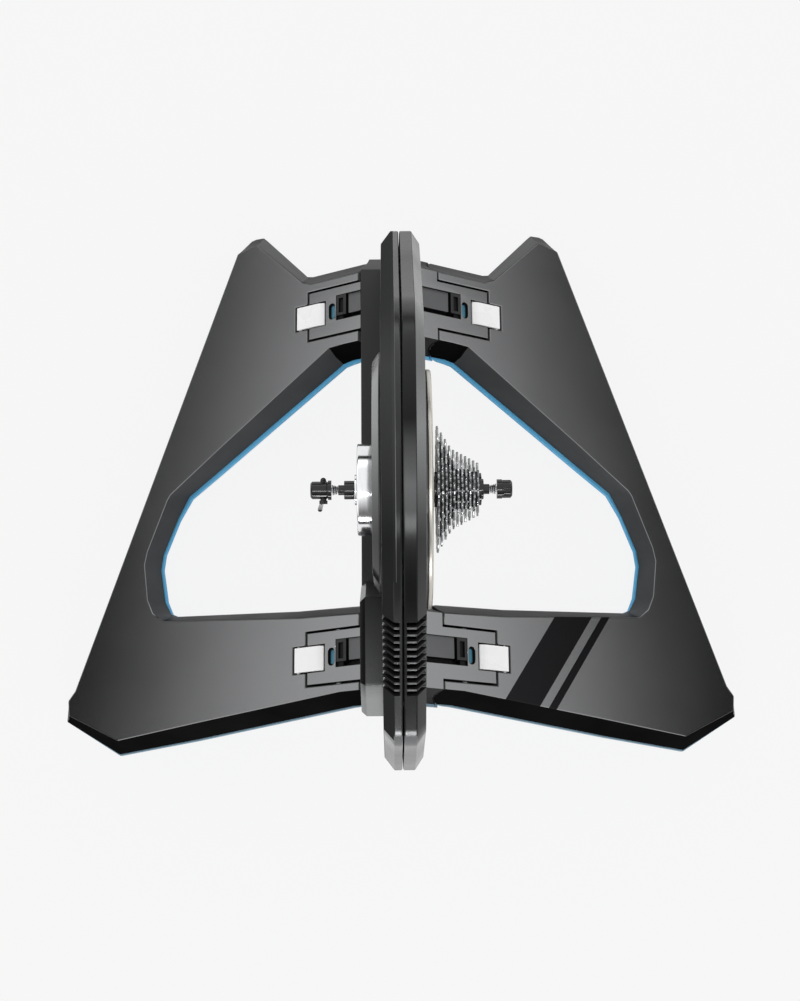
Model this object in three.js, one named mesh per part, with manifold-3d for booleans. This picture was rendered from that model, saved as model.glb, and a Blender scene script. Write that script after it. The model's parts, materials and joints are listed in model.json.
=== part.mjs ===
// Direct drive bike trainer, standing with both wings folded out.
// Millimetres. X points to the drive side, Y forward and Z up. The origin is on the floor, in the middle of
// the footprint, and the axle lies above it.
import * as THREE from "three";
import { mergeVertices } from "three/addons/utils/BufferGeometryUtils.js";
import Module from "manifold-3d";

// Driving sizes of the whole trainer
const overallHeight = 550;
const axleHeight = 345;
const seatGap = 0.3;
const overrun = 6;

// Wings: how far they reach beyond the hinges and run behind their front edge
const hingeHalfSpan = 62;
const wingReach = 378.3;
const wingRun = 574;
const wingFrontEdge = 234;

// Where each wing's two feet stand, as shares of its reach and run
const tipFootShares = [0.253767, 0.059233];
const cornerFootShares = [0.748084, -0.803136];
const placeOnWing = ([reachShare, runShare]) => [
  hingeHalfSpan + reachShare * wingReach,
  wingFrontEdge + runShare * wingRun,
];
const tipFootPlace = placeOnWing(tipFootShares);
const cornerFootPlace = placeOnWing(cornerFootShares);

// Top faces of the two wings: one plane a side, given by its height in the middle and over the two feet
const topPlaneHeight = 225.2;
const tipTopHeight = 52.2;
const cornerTopHeight = 74.86;
const tipFall = topPlaneHeight - tipTopHeight;
const cornerFall = topPlaneHeight - cornerTopHeight;
const footSpread = tipFootPlace[0] * cornerFootPlace[1] - cornerFootPlace[0] * tipFootPlace[1];
const sideFall = (tipFall * cornerFootPlace[1] - cornerFall * tipFootPlace[1]) / footSpread;
const foreFall = (cornerFall * tipFootPlace[0] - tipFall * cornerFootPlace[0]) / footSpread;
const hingeTilt = Math.atan(foreFall);
const wingDroop = Math.atan(sideFall * Math.cos(hingeTilt));

// Hinges: each pin lies under the top face, parallel to it
const pinDepth = 10;
const pinRadius = 5;
const pinClearance = 0.3;
const pinHalfLength = 34;
const pinEndGap = 1;
const frontHingeRun = 196.75;
const rearHingeRun = -174.3;
const topPlaneSteepness = Math.hypot(sideFall, foreFall, 1);
const pinHeight = topPlaneHeight - sideFall * hingeHalfSpan - pinDepth * topPlaneSteepness;

// Arms that carry the wings
const armWidth = 52.5;
const armEnd = 33;
const armThickness = 35;
const seamGap = 2;
const armEndGap = 2.2;
const channelWidth = 28;
const channelOffset = 3;
const channelDepth = 11;
const channelEnd = 1.2;
const channelStep = 3.5;
const channelStepEnd = 8;
const barWidth = 22;
const barRise = 8;
const barEnd = 14.5;
const barGroove = 1.5;
const barRearGap = 5;
const boxSink = 1;
const boxSlotWidth = 5.4;
const boxSlotLength = 16;
const boxSlotDepth = 4;
const boxSlotInset = 2.6;
const windowWidth = 7.6;
const windowLength = 18;
const windowCentre = 4.2;
const windowDepth = 4;
const notchInner = 12.1;
const notchDepth = 8.6;

// Latch levers
const leverInner = 14.6;
const leverOuter = 48.3;
const leverWidth = 25.4;
const leverThickness = 3;
const leverRise = 0.6;
const leverBend = 9;
const leverBendDrop = 2.6;
const leverBendShares = [0, 0.35, 0.7, 1];
const leverPivot = 45.5;
const leverPivotDepth = 3.1;
const leverBarrelRadius = 2.4;
const leverTrunnionRadius = 1.5;
const leverTrunnionLength = 2.2;
const leverHookInner = 22;
const leverHookOuter = 30;
const leverHookDrop = 5;
const leverSideGap = 1.2;
const leverPocketEnd = 50.8;
const leverPocketDepth = 6.8;

// Wing castings
const shellThickness = 35;
const underplateThickness = 4;
const earTail = 33;
const earSwingRadius = 30.3;
const creaseDepth = 19;
const floorTrim = 8;
const blueReveal = 3.4;
const frontFlare = 25.5;

// Main frame beam with its hinge bosses
const beamLeft = 39.5;
const beamRight = 15.5;
const beamTop = 26;
const beamBottom = 16;
const beamFront = 256.5;
const beamRear = 222;
const beamNoseCut = 20.5;
const beamNoseDrop = 20;
const beamCornerWidth = 4.5;
const beamCornerLength = 9;
const beamTailCut = 8;
const beamTailDrop = 12;
const rightFlange = 20;
const flangeTop = 24;
const flangeBottom = 3;
const flangeMargin = 4;
const earSwingClearance = 1.5;
const rootReveal = 2.6;

// Housing
const housingLength = 524;
const housingRear = -272;
const housingRight = 20;
const housingLeft = 17.5;
const housingBandRight = 11.8;
const housingBandLeft = 8;
const housingChamfer = 12.5;
const housingWall = 3;
const seamHalfGap = 0.4;
const seamLipWidth = 0.7;
const seamLipDepth = 1.2;
const ventCount = 11;
const ventWidth = 4.7;
const ventSpacing = 7.1;
const ventDepth = 13;
const ventInner = 3.2;
const ventFirstShare = 0.288;
const motorOpeningRadius = 114.5;
const carrierOpeningRadius = 64;
const frameClearance = 0.5;

// Motor plate, the round cover on the left
const plateRadius = 128;
const plateInnerFace = 17.8;
const plateOuterFace = 26;
const plateBevel = 9;
const plateBoreRadius = 31;
const plateCutBack = 84;
const plateCutLean = 0.12;
const plateFootFront = 92;
const plateFootRear = 70;
const plateFrontShare = -0.55;
const plateCutShare = 0.25;

// Electronics cover
const coverOuterFace = 39.8;
const coverFront = -101;
const coverFrontSlope = 10;
const coverRear = -222;
const coverTopFront = 328;
const coverTopRear = 336;
const coverCrest = -184;
const coverBevel = 5;
const coverWall = 2.5;
const boardThickness = 1.6;
const boardFace = 30;
const boardLength = 66;
const boardHeightShare = 0.514;
const boardCentreY = -146;
const boardPostRadius = 3;
const chipHeight = 3;
const chipSize = 14;
const chipSpacing = 21;

// Power inlet in the sloping rear underside
const inletRadius = 6;
const inletFlangeRadius = 7;
const inletFlange = 2;
const inletLength = 16;
const inletBoreRadius = 3.2;
const inletBoreDepth = 12;
const inletOffset = 9;
const inletPlaceShare = 0.45;

// Axle and its end pieces, which set the 130 mm between the bicycle's dropouts
const hubWidth = 130;
const leftShoulder = -53;
const rightShoulder = leftShoulder + hubWidth;
const axleRadius = 8.5;
const axleLeft = -43.3;
const axleRight = 74.3;
const rodRadius = 2.5;
const boreClearance = 0.3;
const adapterRadius = 8.75;
const adapterLeftInner = -43.6;
const stubRadius = 4.75;
const stubLength = 5.6;
const runningClearance = 0.2;

// Motor
const carrierHubRadius = 16;
const carrierHubLeft = -36;
const carrierHubRight = 1.5;
const carrierWebLeft = -17.5;
const carrierWebThickness = 6;
const carrierRimInner = 56;
const carrierRimOuter = 60;
const carrierRimRight = 15;
const coreOuterRadius = 92;
const coreYoke = 6;
const coreLeft = -8;
const coreRight = 14;
const coreTeeth = 18;
const toothWidth = 9;
const toothTipWidth = 24;
const toothTipDepth = 4;
const windingOuterRadius = 86;
const windingEndTurn = 4.5;
const airGap = 1.5;
const magnetThickness = 3;
const magnetCount = 32;
const magnetBack = 1;
const magnetLength = 26;
const cupWall = 10.5;
const cupLeft = -12;
const cupWebLeft = 20.5;
const cupWebThickness = 3;
const rotorHubRadius = 24;
const rotorHubLeft = 3;
const rotorHubRight = 30.6;
const bearingRadius = 15;
const bearingWidth = 7;
const bearingLeftStart = 4;
const bearingRightStart = 22;
const bearingShieldDepth = 0.6;
const bearingRingWidth = 2;
const discRadius = 112;
const discLeft = 23.8;
const discThickness = 4.2;
const discBevel = 1.4;

// Hub cap on the left
const capRadius = 43.5;
const capLeft = -40.7;
const capRight = -26.3;
const capWall = 2.5;
const capBevel = 1.6;
const capBoreRadius = 9;
const capDiscRadius = 14.5;
const capDiscThickness = 2.2;
const capDiscGap = 0.3;

// Freehub and cassette
const chainPitch = 12.7;
const groupTeeth = { sprocket_group_large: [28, 25, 22], sprocket_group_middle: [19, 17] };
const looseTeeth = [16, 15, 14, 13, 12, 11];
const sprocketTeeth = [...Object.values(groupTeeth).flat(), ...looseTeeth];
const sprocketPitch = 3.74;
const sprocketThickness = 1.8;
const firstSprocket = 33.9;
const rollerSeat = 3.9;
const toothRise = 2.8;
const toothPlaceShares = [0, 0.4, 0.6];
const spacerRadius = 20.5;
const spacerClearance = 0.15;
const spacerSteps = 18;
const freehubRadius = 16.6;
const freehubLeft = 31.2;
const freehubRight = 71.4;
const freehubBoreRadius = 13;
const freehubBearingWidth = 6;
const freehubBearingInset = 1;
const splineCount = 9;
const splineDepth = 1.2;
const splineBoreClearance = 0.35;
const leastSpacedTeeth = 13;
const lockringRadius = 15.2;
const lockringThickness = 2.4;
const lockringBoreRadius = 10.4;
const lockringNotches = 12;
const lockringNotchWidth = 2;
const lockringNotchDepth = 1.6;
const lastAdapterRadius = 9.6;

// Quick release
const camBodyRadius = 8.3;
const camBodyLeft = -84.5;
const camGrooveLeft = -69.2;
const camGrooveDepth = 0.5;
const camBodyRight = -68.2;
const camFlangeRadius = 9.2;
const camFlangeRight = -64.9;
const camAxis = -72.6;
const camPinRadius = 2.9;
const camBallRadius = 2.8;
const camBallOut = 0.8;
const camLeverHubRadius = 3.9;
const camLeverHubThickness = 3.4;
const camLeverLength = 44;
const camLeverRootWidth = 4.2;
const camLeverTipWidth = 4.8;
const camLeverThickness = 3.2;
const camLeverSweep = 6.9;
const camLeverLean = 5;
const camLeverGap = 1.2;
const camLeverSteps = 8;
const rodHeadRadius = 4.6;
const rodHeadLeft = -78;
const rodHeadRight = -67;
const camNeckRadius = 2.2;
const camBodyBevel = 1.6;
const nutLeft = 89.4;
const nutRight = 103.8;
const nutRadius = 8.5;
const nutFlangeRadius = 9.1;
const nutFlange = 5;
const nutGrips = 10;
const nutGripDepth = 0.7;
const nutGripWidth = 1.4;
const nutBevel = 1.6;
const rodRight = 101;
const springWire = 0.45;
const springSmallRadius = 3.3;
const springLargeRadius = 4.6;
const springCurls = 3;
const springSteps = 8;
const springSides = 5;
const springLeastGap = 0.4;

// Rubber feet
const tipFootSize = 26;
const cornerFootLength = 46;
const cornerFootWidth = 30;
const footCorner = 5;

const weldDistance = 1e-4;

const wasm = await Module();
wasm.setup();

// A closed geometry as a solid, with shared corners merged and its faces turned outward.
function solidOf(geometry) {
  const bare = geometry.index ? geometry.toNonIndexed() : geometry.clone();
  Object.keys(bare.attributes)
    .filter((name) => name !== "position")
    .forEach((name) => bare.deleteAttribute(name));
  const merged = mergeVertices(bare, weldDistance);
  const source = merged.index.array;
  const corners = [];
  for (let i = 0; i < source.length; i += 3) {
    const [a, b, c] = source.subarray(i, i + 3);
    if (a !== b && b !== c && c !== a) corners.push(a, b, c);
  }
  const build = (list) =>
    new wasm.Manifold(
      new wasm.Mesh({
        numProp: 3,
        vertProperties: merged.attributes.position.array,
        triVerts: new Uint32Array(list),
      }),
    );
  const made = build(corners);
  return made.volume() < 0 ? build(corners.reverse()) : made;
}

// A solid as a flat-shaded geometry.
function geometryOf(solid) {
  const mesh = solid.getMesh();
  const indexed = new THREE.BufferGeometry();
  indexed.setAttribute("position", new THREE.BufferAttribute(mesh.vertProperties, mesh.numProp));
  indexed.setIndex(new THREE.BufferAttribute(mesh.triVerts, 1));
  const flat = indexed.toNonIndexed();
  flat.computeVertexNormals();
  return flat;
}

// The first geometry with the others cut away.
function cut(base, tools) {
  return geometryOf(tools.reduce((solid, tool) => solid.subtract(solidOf(tool)), solidOf(base)));
}

// Several geometries joined into one.
function join(pieces) {
  return geometryOf(pieces.slice(1).reduce((solid, piece) => solid.add(solidOf(piece)), solidOf(pieces[0])));
}

// What two geometries have in common.
function common(first, second) {
  return geometryOf(solidOf(first).intersect(solidOf(second)));
}

const vectorOf = ([x, y]) => new THREE.Vector2(x, y);

// A closed skin through rings of matching points. Each ring is an outline at its own height.
function loft(rings) {
  const count = rings[0].outline.length;
  const corner = (ring, i) => [...rings[ring].outline[i % count], rings[ring].height];
  const positions = [];
  const face = (...corners) => corners.forEach((point) => positions.push(...point));
  for (let ring = 0; ring + 1 < rings.length; ring += 1) {
    for (let i = 0; i < count; i += 1) {
      face(corner(ring, i), corner(ring, i + 1), corner(ring + 1, i + 1));
      face(corner(ring, i), corner(ring + 1, i + 1), corner(ring + 1, i));
    }
  }
  const cap = (ring, turned) => {
    const triangles = THREE.ShapeUtils.triangulateShape(rings[ring].outline.map(vectorOf), []);
    triangles.forEach(([a, b, c]) => {
      const order = turned ? [c, b, a] : [a, b, c];
      face(...order.map((i) => corner(ring, i)));
    });
  };
  cap(0, true);
  cap(rings.length - 1, false);
  return new THREE.BufferGeometry().setAttribute("position", new THREE.Float32BufferAttribute(positions, 3));
}

// An outline, with holes if any, carried straight up from one height to another.
function prism(outline, low, high, holes = []) {
  const shape = new THREE.Shape(outline.map(vectorOf));
  shape.holes = holes.map((hole) => new THREE.Path(hole.map(vectorOf)));
  return new THREE.ExtrudeGeometry(shape, { depth: high - low, bevelEnabled: false }).translate(0, 0, low);
}

// A box given by its lowest and highest corners.
function block(low, high) {
  const size = high.map((value, i) => value - low[i]);
  const middle = high.map((value, i) => (value + low[i]) / 2);
  return new THREE.BoxGeometry(...size).translate(...middle);
}

// Points of a circle, or of the part of it between two angles.
function arc(centre, radius, steps, start = 0, end = 2 * Math.PI) {
  const closed = Math.abs(end - start) >= 2 * Math.PI - Number.EPSILON;
  return Array.from({ length: closed ? steps : steps + 1 }, (unused, i) => {
    const angle = start + ((end - start) * i) / steps;
    return [centre[0] + radius * Math.cos(angle), centre[1] + radius * Math.sin(angle)];
  });
}

// A convex outline with rounded corners, drawn inward by a distance. Its corners are [x, y, radius] and run
// anticlockwise.
function roundedOutline(corners, inset, steps) {
  const count = corners.length;
  const edges = corners.map(([x, y], i) => {
    const [nextX, nextY] = corners[(i + 1) % count];
    const length = Math.hypot(nextX - x, nextY - y);
    const along = [(nextX - x) / length, (nextY - y) / length];
    const inward = [-along[1], along[0]];
    return { along, inward, start: [x + inward[0] * inset, y + inward[1] * inset] };
  });
  return corners.flatMap(([, , radius], i) => {
    const before = edges[(i + count - 1) % count];
    const after = edges[i];
    const turn = before.along[0] * after.along[1] - before.along[1] * after.along[0];
    const gapX = after.start[0] - before.start[0];
    const gapY = after.start[1] - before.start[1];
    const reach = (gapX * after.along[1] - gapY * after.along[0]) / turn;
    const sharp = [before.start[0] + before.along[0] * reach, before.start[1] + before.along[1] * reach];
    const round = Math.max(radius - inset, radius / steps);
    const angle = Math.asin(Math.min(1, turn));
    const back = round * Math.tan(angle / 2);
    const centre = [
      sharp[0] - before.along[0] * back + before.inward[0] * round,
      sharp[1] - before.along[1] * back + before.inward[1] * round,
    ];
    const start = Math.atan2(-before.inward[1], -before.inward[0]);
    return arc(centre, round, steps, start, start + angle);
  });
}

// Side view drawings, with Y and Z as their axes, turned to stand along X.
const sideView = new THREE.Matrix4().makeBasis(
  new THREE.Vector3(0, 1, 0),
  new THREE.Vector3(0, 0, 1),
  new THREE.Vector3(1, 0, 0),
);

// Drawings across the hinge, with X and Z as their axes, carried along the pin.
function alongPin(outline, start, end, holes = []) {
  const across = new THREE.Matrix4().makeBasis(
    new THREE.Vector3(1, 0, 0),
    new THREE.Vector3(0, 0, 1),
    new THREE.Vector3(0, -1, 0),
  );
  return prism(outline, -end, -start, holes).applyMatrix4(across);
}

// A closed profile of [x, radius] points turned about the axle.
function turned(profile, steps) {
  const points = [...profile, profile[0]].map(([x, radius]) => new THREE.Vector2(radius, x));
  if (THREE.ShapeUtils.area(points) < 0) points.reverse();
  return new THREE.LatheGeometry(points, steps).rotateZ(-Math.PI / 2);
}

// A tube or, with no bore, a rod about the axle.
function tube(left, right, radius, bore, steps) {
  return turned(
    [
      [left, bore],
      [right, bore],
      [right, radius],
      [left, radius],
    ],
    steps,
  );
}

const finishes = {
  shell: { color: 0x2c2d2e, roughness: 0.55, metalness: 0.1 },
  wing: { color: 0x39393a, roughness: 0.5, metalness: 0.2 },
  frame: { color: 0x323334, roughness: 0.6, metalness: 0.4 },
  blue: { color: 0x58b0e3, roughness: 0.5, metalness: 0 },
  white: { color: 0xf1f1f1, roughness: 0.45, metalness: 0 },
  silver: { color: 0xd4d5d6, roughness: 0.25, metalness: 0.9 },
  ivory: { color: 0xd8d5cc, roughness: 0.4, metalness: 0.5 },
  steel: { color: 0x8d9093, roughness: 0.35, metalness: 0.9 },
  dark: { color: 0x1b1b1c, roughness: 0.4, metalness: 0.3 },
  copper: { color: 0xb06a3a, roughness: 0.4, metalness: 0.8 },
  rubber: { color: 0x161616, roughness: 0.9, metalness: 0 },
  board: { color: 0x1f5a36, roughness: 0.6, metalness: 0 },
};

const trainer = new THREE.Group();

// A named piece with its own material, placed in a group.
function add(group, name, geometry, finish) {
  const mesh = new THREE.Mesh(geometry, new THREE.MeshStandardMaterial(finishes[finish]));
  mesh.name = name;
  group.add(mesh);
  return mesh;
}

// Heights of sloping surfaces
const pinHeightAt = (y) => pinHeight - foreFall * y;
const beamTopAt = (y) => pinHeightAt(y) + beamTop / Math.cos(hingeTilt);
const undersideAt = (x, y) => {
  const drop = (shellThickness + underplateThickness) * topPlaneSteepness;
  return topPlaneHeight - sideFall * x - foreFall * y - drop;
};

// Hinge side of the wings: fore and aft edges of the two beams, at the top and at the foot
const earEdges = {
  top: { frontFore: wingFrontEdge, frontAft: 157, rearFore: -134, rearAft: -211 },
  foot: { frontFore: wingFrontEdge + frontFlare, frontAft: 151, rearFore: -118.8, rearAft: -220.5 },
};
// Outline of a wing beyond the hinges, as shares of its reach and run
const wingTopShares = {
  rearInner: -0.016,
  front: [
    [0.08, 0],
    [0.113, 0.0085],
    [0.272, 0.109],
    [0.33, 0.1015],
  ],
  outer: [
    [0.34, 0.1],
    [0.896, -0.72],
    [0.92, -0.737],
    [0.916, -0.766],
    [0.73, -0.823],
    [0.446, -0.804],
  ],
  openingRear: [
    [0.113, 0.006],
    [0.58, 0.035],
    [0.617, 0.053],
    [0.637, 0.08],
    [0.652, 0.149],
    [0.643, 0.174],
  ],
  openingFront: [
    [0.575, -0.237],
    [0.564, -0.228],
    [0.397, -0.157],
    [0.02, -0.002],
    [-0.03, 0],
  ],
};
const wingFootShares = {
  rearInner: 0,
  front: [
    [0.135, 0],
    [0.158, 0.0035],
    [0.313, 0.1082],
    [0.349, 0.1128],
  ],
  outer: [
    [0.412, 0.088],
    [0.972, -0.7525],
    [0.999, -0.766],
    [1.003, -0.81],
    [0.797, -0.8836],
    [0.515, -0.869],
  ],
  openingRear: [
    [0.176, 0.0072],
    [0.599, 0.029],
    [0.622, 0.0355],
    [0.645, 0.06],
    [0.664, 0.125],
    [0.657, 0.155],
  ],
  openingFront: [
    [0.608, -0.25],
    [0.566, -0.207],
    [0.464, -0.169],
    [0.03, -0.0035],
    [0, 0],
  ],
};

// One ring of the wing's outline, anticlockwise from above: front edge, outer side, rear edge and opening.
function wingOutline(edges, shares, tail) {
  const place = (base) => ([u, v]) => [u * wingReach, base + v * wingRun];
  return [
    [-tail, edges.rearFore],
    [-tail, edges.rearAft],
    [shares.rearInner * wingReach, edges.rearAft],
    ...[...shares.outer].reverse().map(place(edges.frontFore)),
    ...[...shares.front].reverse().map(place(edges.frontFore)),
    [-tail, edges.frontFore],
    [-tail, edges.frontAft],
    ...[...shares.openingFront].reverse().map(place(edges.frontAft)),
    ...[...shares.openingRear].reverse().map(place(edges.rearFore)),
  ];
}
const topOutline = wingOutline(earEdges.top, wingTopShares, earTail);
const footOutline = wingOutline(earEdges.foot, wingFootShares, earTail);

const openingCreaseShare = 0.68;
const outsideCreaseShare = 0.5;
const outsideCount = topOutline.length - wingTopShares.openingFront.length - wingTopShares.openingRear.length;
const creaseOutline = topOutline.map(([u, v], i) => {
  const share = i > 0 && i < outsideCount ? outsideCreaseShare : openingCreaseShare;
  return [u + (footOutline[i][0] - u) * share, v + (footOutline[i][1] - v) * share];
});

// Hinge groups. Inside, X runs outward from the pins, Y forward along them and Z up, square to them.
function hingeGroup(side) {
  const group = new THREE.Group();
  group.position.set(side * hingeHalfSpan, 0, pinHeight);
  group.rotation.x = -hingeTilt;
  group.scale.x = side;
  trainer.add(group);
  const wing = new THREE.Group();
  wing.rotation.y = wingDroop;
  group.add(wing);
  return { group, wing };
}
const hinges = { right: hingeGroup(1), left: hingeGroup(-1) };
trainer.updateMatrixWorld(true);
const fromWorldToWing = hinges.right.wing.matrixWorld.clone().invert();

const hingeRuns = { front: frontHingeRun, rear: rearHingeRun };
const hingeNames = Object.keys(hingeRuns);
const sides = Object.keys(hinges);

// What the wings must leave free round each arm, its pin and its latch lever.
function hingeClearances(run) {
  const half = armWidth / 2 + seamGap;
  const low = -(shellThickness + underplateThickness) - overrun;
  const pocket = block(
    [-earTail - overrun, run - half, low],
    [armEnd + armEndGap, run + half, pinDepth + overrun],
  );
  const holeHalf = pinHalfLength + pinEndGap;
  const hole = alongPin(arc([0, 0], pinRadius + pinClearance, 16), run - holeHalf, run + holeHalf);
  const leverHalf = leverWidth / 2 + leverSideGap;
  const leverPocket = block(
    [armEnd, run - leverHalf, pinDepth - leverPocketDepth],
    [leverPocketEnd, run + leverHalf, pinDepth + overrun],
  );
  const trunnion = arc([leverPivot, pinDepth - leverPivotDepth], leverTrunnionRadius + pinClearance, 8);
  const trunnionHalf = leverWidth / 2 + leverTrunnionLength + pinClearance;
  const trunnionHoles = alongPin(trunnion, run - trunnionHalf, run + trunnionHalf);
  return [pocket, hole, leverPocket, trunnionHoles];
}

// What lies under the level at which the wings are trimmed flat for the feet.
const belowFloorTrim = block(
  [-wingReach, -wingRun, -wingReach],
  [2 * wingReach, wingRun, floorTrim],
).applyMatrix4(fromWorldToWing);

// The wing's inner ends are rounded about the pins, so that they swing past the frame.
const earRound = cut(
  block([-2 * earTail, -wingRun, -2 * shellThickness], [-pinRadius, wingRun, 2 * pinDepth]),
  [alongPin(arc([0, 0], earSwingRadius, 32), -2 * wingRun, 2 * wingRun)],
);
const clearances = [...hingeNames.flatMap((name) => hingeClearances(hingeRuns[name])), earRound];
const shellFoot = pinDepth - shellThickness;

// The black casting of one wing.
function wingShell() {
  const skin = loft([
    { outline: footOutline, height: shellFoot },
    { outline: creaseOutline, height: pinDepth - creaseDepth },
    { outline: topOutline, height: pinDepth },
  ]);
  return cut(skin, [...clearances, belowFloorTrim]);
}

// How far the blue underplate shows past the shell: along the rear edge, the opening's slant and its outer
// side, and the points of the outline that each takes.
const revealShares = { rear: 0.3, slant: 1, outerSide: 0.45 };
const rearEdgeStart = 2;
const rearEdgeCount = 3;
const slantCount = 4;
const innerCount = 3;
function underplate() {
  const count = footOutline.length;
  const rearEdge = Array.from({ length: rearEdgeCount }, (unused, i) => rearEdgeStart + i);
  const slant = Array.from({ length: slantCount }, (unused, i) => outsideCount + i);
  const outline = footOutline.map(([u, v], i) => {
    const [beforeU, beforeV] = footOutline[(i + count - 1) % count];
    const [afterU, afterV] = footOutline[(i + 1) % count];
    const length = Math.hypot(afterU - beforeU, afterV - beforeV);
    const outward = [(afterV - beforeV) / length, -(afterU - beforeU) / length];
    let share = 0;
    if (rearEdge.includes(i)) share = revealShares.rear;
    if (slant.includes(i)) share = revealShares.slant;
    if (i >= outsideCount + slantCount && i < count - innerCount) share = revealShares.outerSide;
    return [u + outward[0] * blueReveal * share, v + outward[1] * blueReveal * share];
  });
  const low = shellFoot - underplateThickness;
  return cut(prism(outline, low, shellFoot - seatGap), [...clearances, belowFloorTrim]);
}

// Where a level of the wing's frame meets an upright plane at a given distance from the pin.
const reachAt = (planeX, level) => (planeX - level * Math.sin(wingDroop)) / Math.cos(wingDroop);
const levelled = new THREE.Matrix4().makeRotationY(wingDroop);

// The wide root of a right arm: the wing's own section carried on to the housing, with its blue underplate.
function armRoot(name, rootX) {
  const [fore, aft] = [`${name}Fore`, `${name}Aft`];
  const between = (share, edge) => earEdges.top[edge] + (earEdges.foot[edge] - earEdges.top[edge]) * share;
  const ring = (height, share, extra) => {
    const inner = reachAt(rootX, height);
    const front = between(share, fore);
    const back = between(share, aft) - extra;
    return {
      outline: [
        [inner, back],
        [-pinRadius, back],
        [-pinRadius, front],
        [inner, front],
      ],
      height,
    };
  };
  const low = shellFoot - underplateThickness;
  const body = loft([
    ring(low, 1, rootReveal),
    ring(shellFoot, 1, rootReveal),
    ring(shellFoot + seatGap, 1, 0),
    ring(pinDepth - creaseDepth, outsideCreaseShare, 0),
    ring(pinDepth, 0, 0),
  ]);
  const swing = alongPin(arc([0, 0], earSwingRadius + earSwingClearance, 32), -2 * wingRun, 2 * wingRun);
  return cut(body, [swing]).applyMatrix4(levelled);
}

// The recesses in an arm's top: the lock bar's channel, the indicator's window and the notch for the lever.
function armRecesses(run) {
  const middle = run + channelOffset;
  const [back, front] = [middle - channelWidth / 2, middle + channelWidth / 2];
  const above = pinDepth + overrun;
  const channel = block([-2 * armEnd, back, pinDepth - channelDepth], [-channelStepEnd, front, above]);
  const step = block([-channelStepEnd - overrun, back, pinDepth - channelStep], [-channelEnd, front, above]);
  const roundRadius = windowWidth / 2;
  const straight = windowLength / 2 - roundRadius;
  const windowOutline = [
    ...arc([windowCentre, run + straight], roundRadius, 6, 0, Math.PI),
    ...arc([windowCentre, run - straight], roundRadius, 6, Math.PI, 2 * Math.PI),
  ];
  const indicator = prism(windowOutline, pinDepth - windowDepth, above);
  const notchHalf = leverWidth / 2 + leverSideGap;
  const notch = block(
    [notchInner, run - notchHalf, pinDepth - notchDepth],
    [armEnd + overrun, run + notchHalf, above],
  );
  return [channel, step, indicator, notch].map((tool) => tool.applyMatrix4(levelled));
}

// What stands in the channel: the lock bar and, beyond a groove, its end box, which reaches over the pin.
function armFittings(run) {
  const front = run + channelOffset + channelWidth / 2 + seatGap;
  const back = front - channelWidth + barRearGap;
  const floor = pinDepth - channelDepth - seatGap;
  const stepFloor = pinDepth - channelStep - seatGap;
  const boxTop = pinDepth - boxSink;
  const bar = block([-2 * armEnd, front - barWidth, floor], [-barEnd, front, floor + barRise]);
  const box = block([-barEnd + barGroove, back, floor], [-channelStepEnd, front, boxTop]);
  const boxEnd = block([-channelStepEnd - seatGap, back, stepFloor], [-channelEnd + seatGap, front, boxTop]);
  return [bar, box, boxEnd].map((piece) => piece.applyMatrix4(levelled));
}

// The slot in the end box's top.
function boxSlot(run) {
  const middle = run + channelOffset + barRearGap / 2;
  const outer = -channelEnd - boxSlotInset;
  return block(
    [outer - boxSlotWidth, middle - boxSlotLength / 2, pinDepth - boxSlotDepth],
    [outer, middle + boxSlotLength / 2, pinDepth + overrun],
  ).applyMatrix4(levelled);
}

// An arm: a tongue that the wing turns on and, on the right, a wide root.
function hingeArm(name, side) {
  const run = hingeRuns[name];
  const half = armWidth / 2;
  const rootX = (side === "right" ? rightFlange : beamLeft) + seatGap - hingeHalfSpan;
  const turnedPoint = (u, w) => [
    u * Math.cos(wingDroop) + w * Math.sin(wingDroop),
    w * Math.cos(wingDroop) - u * Math.sin(wingDroop),
  ];
  const armFoot = pinDepth - armThickness;
  const profile = [
    turnedPoint(reachAt(rootX, armFoot), armFoot),
    turnedPoint(armEnd, armFoot),
    turnedPoint(armEnd, pinDepth),
    turnedPoint(reachAt(rootX, pinDepth), pinDepth),
  ];
  const tongue = alongPin(profile, run - half, run + half);
  const bore = alongPin(arc([0, 0], pinRadius + pinClearance, 16), run - 2 * half, run + 2 * half);
  const body = side === "right" ? join([tongue, armRoot(name, rootX)]) : tongue;
  const fittings = armFittings(run).map((piece) => common(piece, tongue));
  return cut(join([cut(body, [bore, ...armRecesses(run)]), ...fittings]), [boxSlot(run)]);
}

// A latch lever: a bent plate on a cross barrel, with a hook that drops into the arm's notch.
function latchLever(run) {
  const top = pinDepth + leverRise;
  const under = top - leverThickness;
  const bendPoint = (share) => [leverInner + leverBend * (1 - share), top - leverBendDrop * share * share];
  const profile = [
    [leverOuter, under],
    [leverOuter, top],
    ...leverBendShares.map(bendPoint),
    [leverInner, under - leverBendDrop / 2],
    [leverHookInner, under - leverBendDrop / 2],
    [leverHookInner, under - leverHookDrop],
    [leverHookOuter, under - leverHookDrop],
    [leverHookOuter + leverThickness, under],
  ];
  const half = leverWidth / 2;
  const pivot = [leverPivot, pinDepth - leverPivotDepth];
  const trunnionHalf = half + leverTrunnionLength;
  return join([
    alongPin(profile, run - half, run + half),
    alongPin(arc(pivot, leverBarrelRadius, 12), run - half, run + half),
    alongPin(arc(pivot, leverTrunnionRadius, 8), run - trunnionHalf, run + trunnionHalf),
  ]);
}

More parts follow.
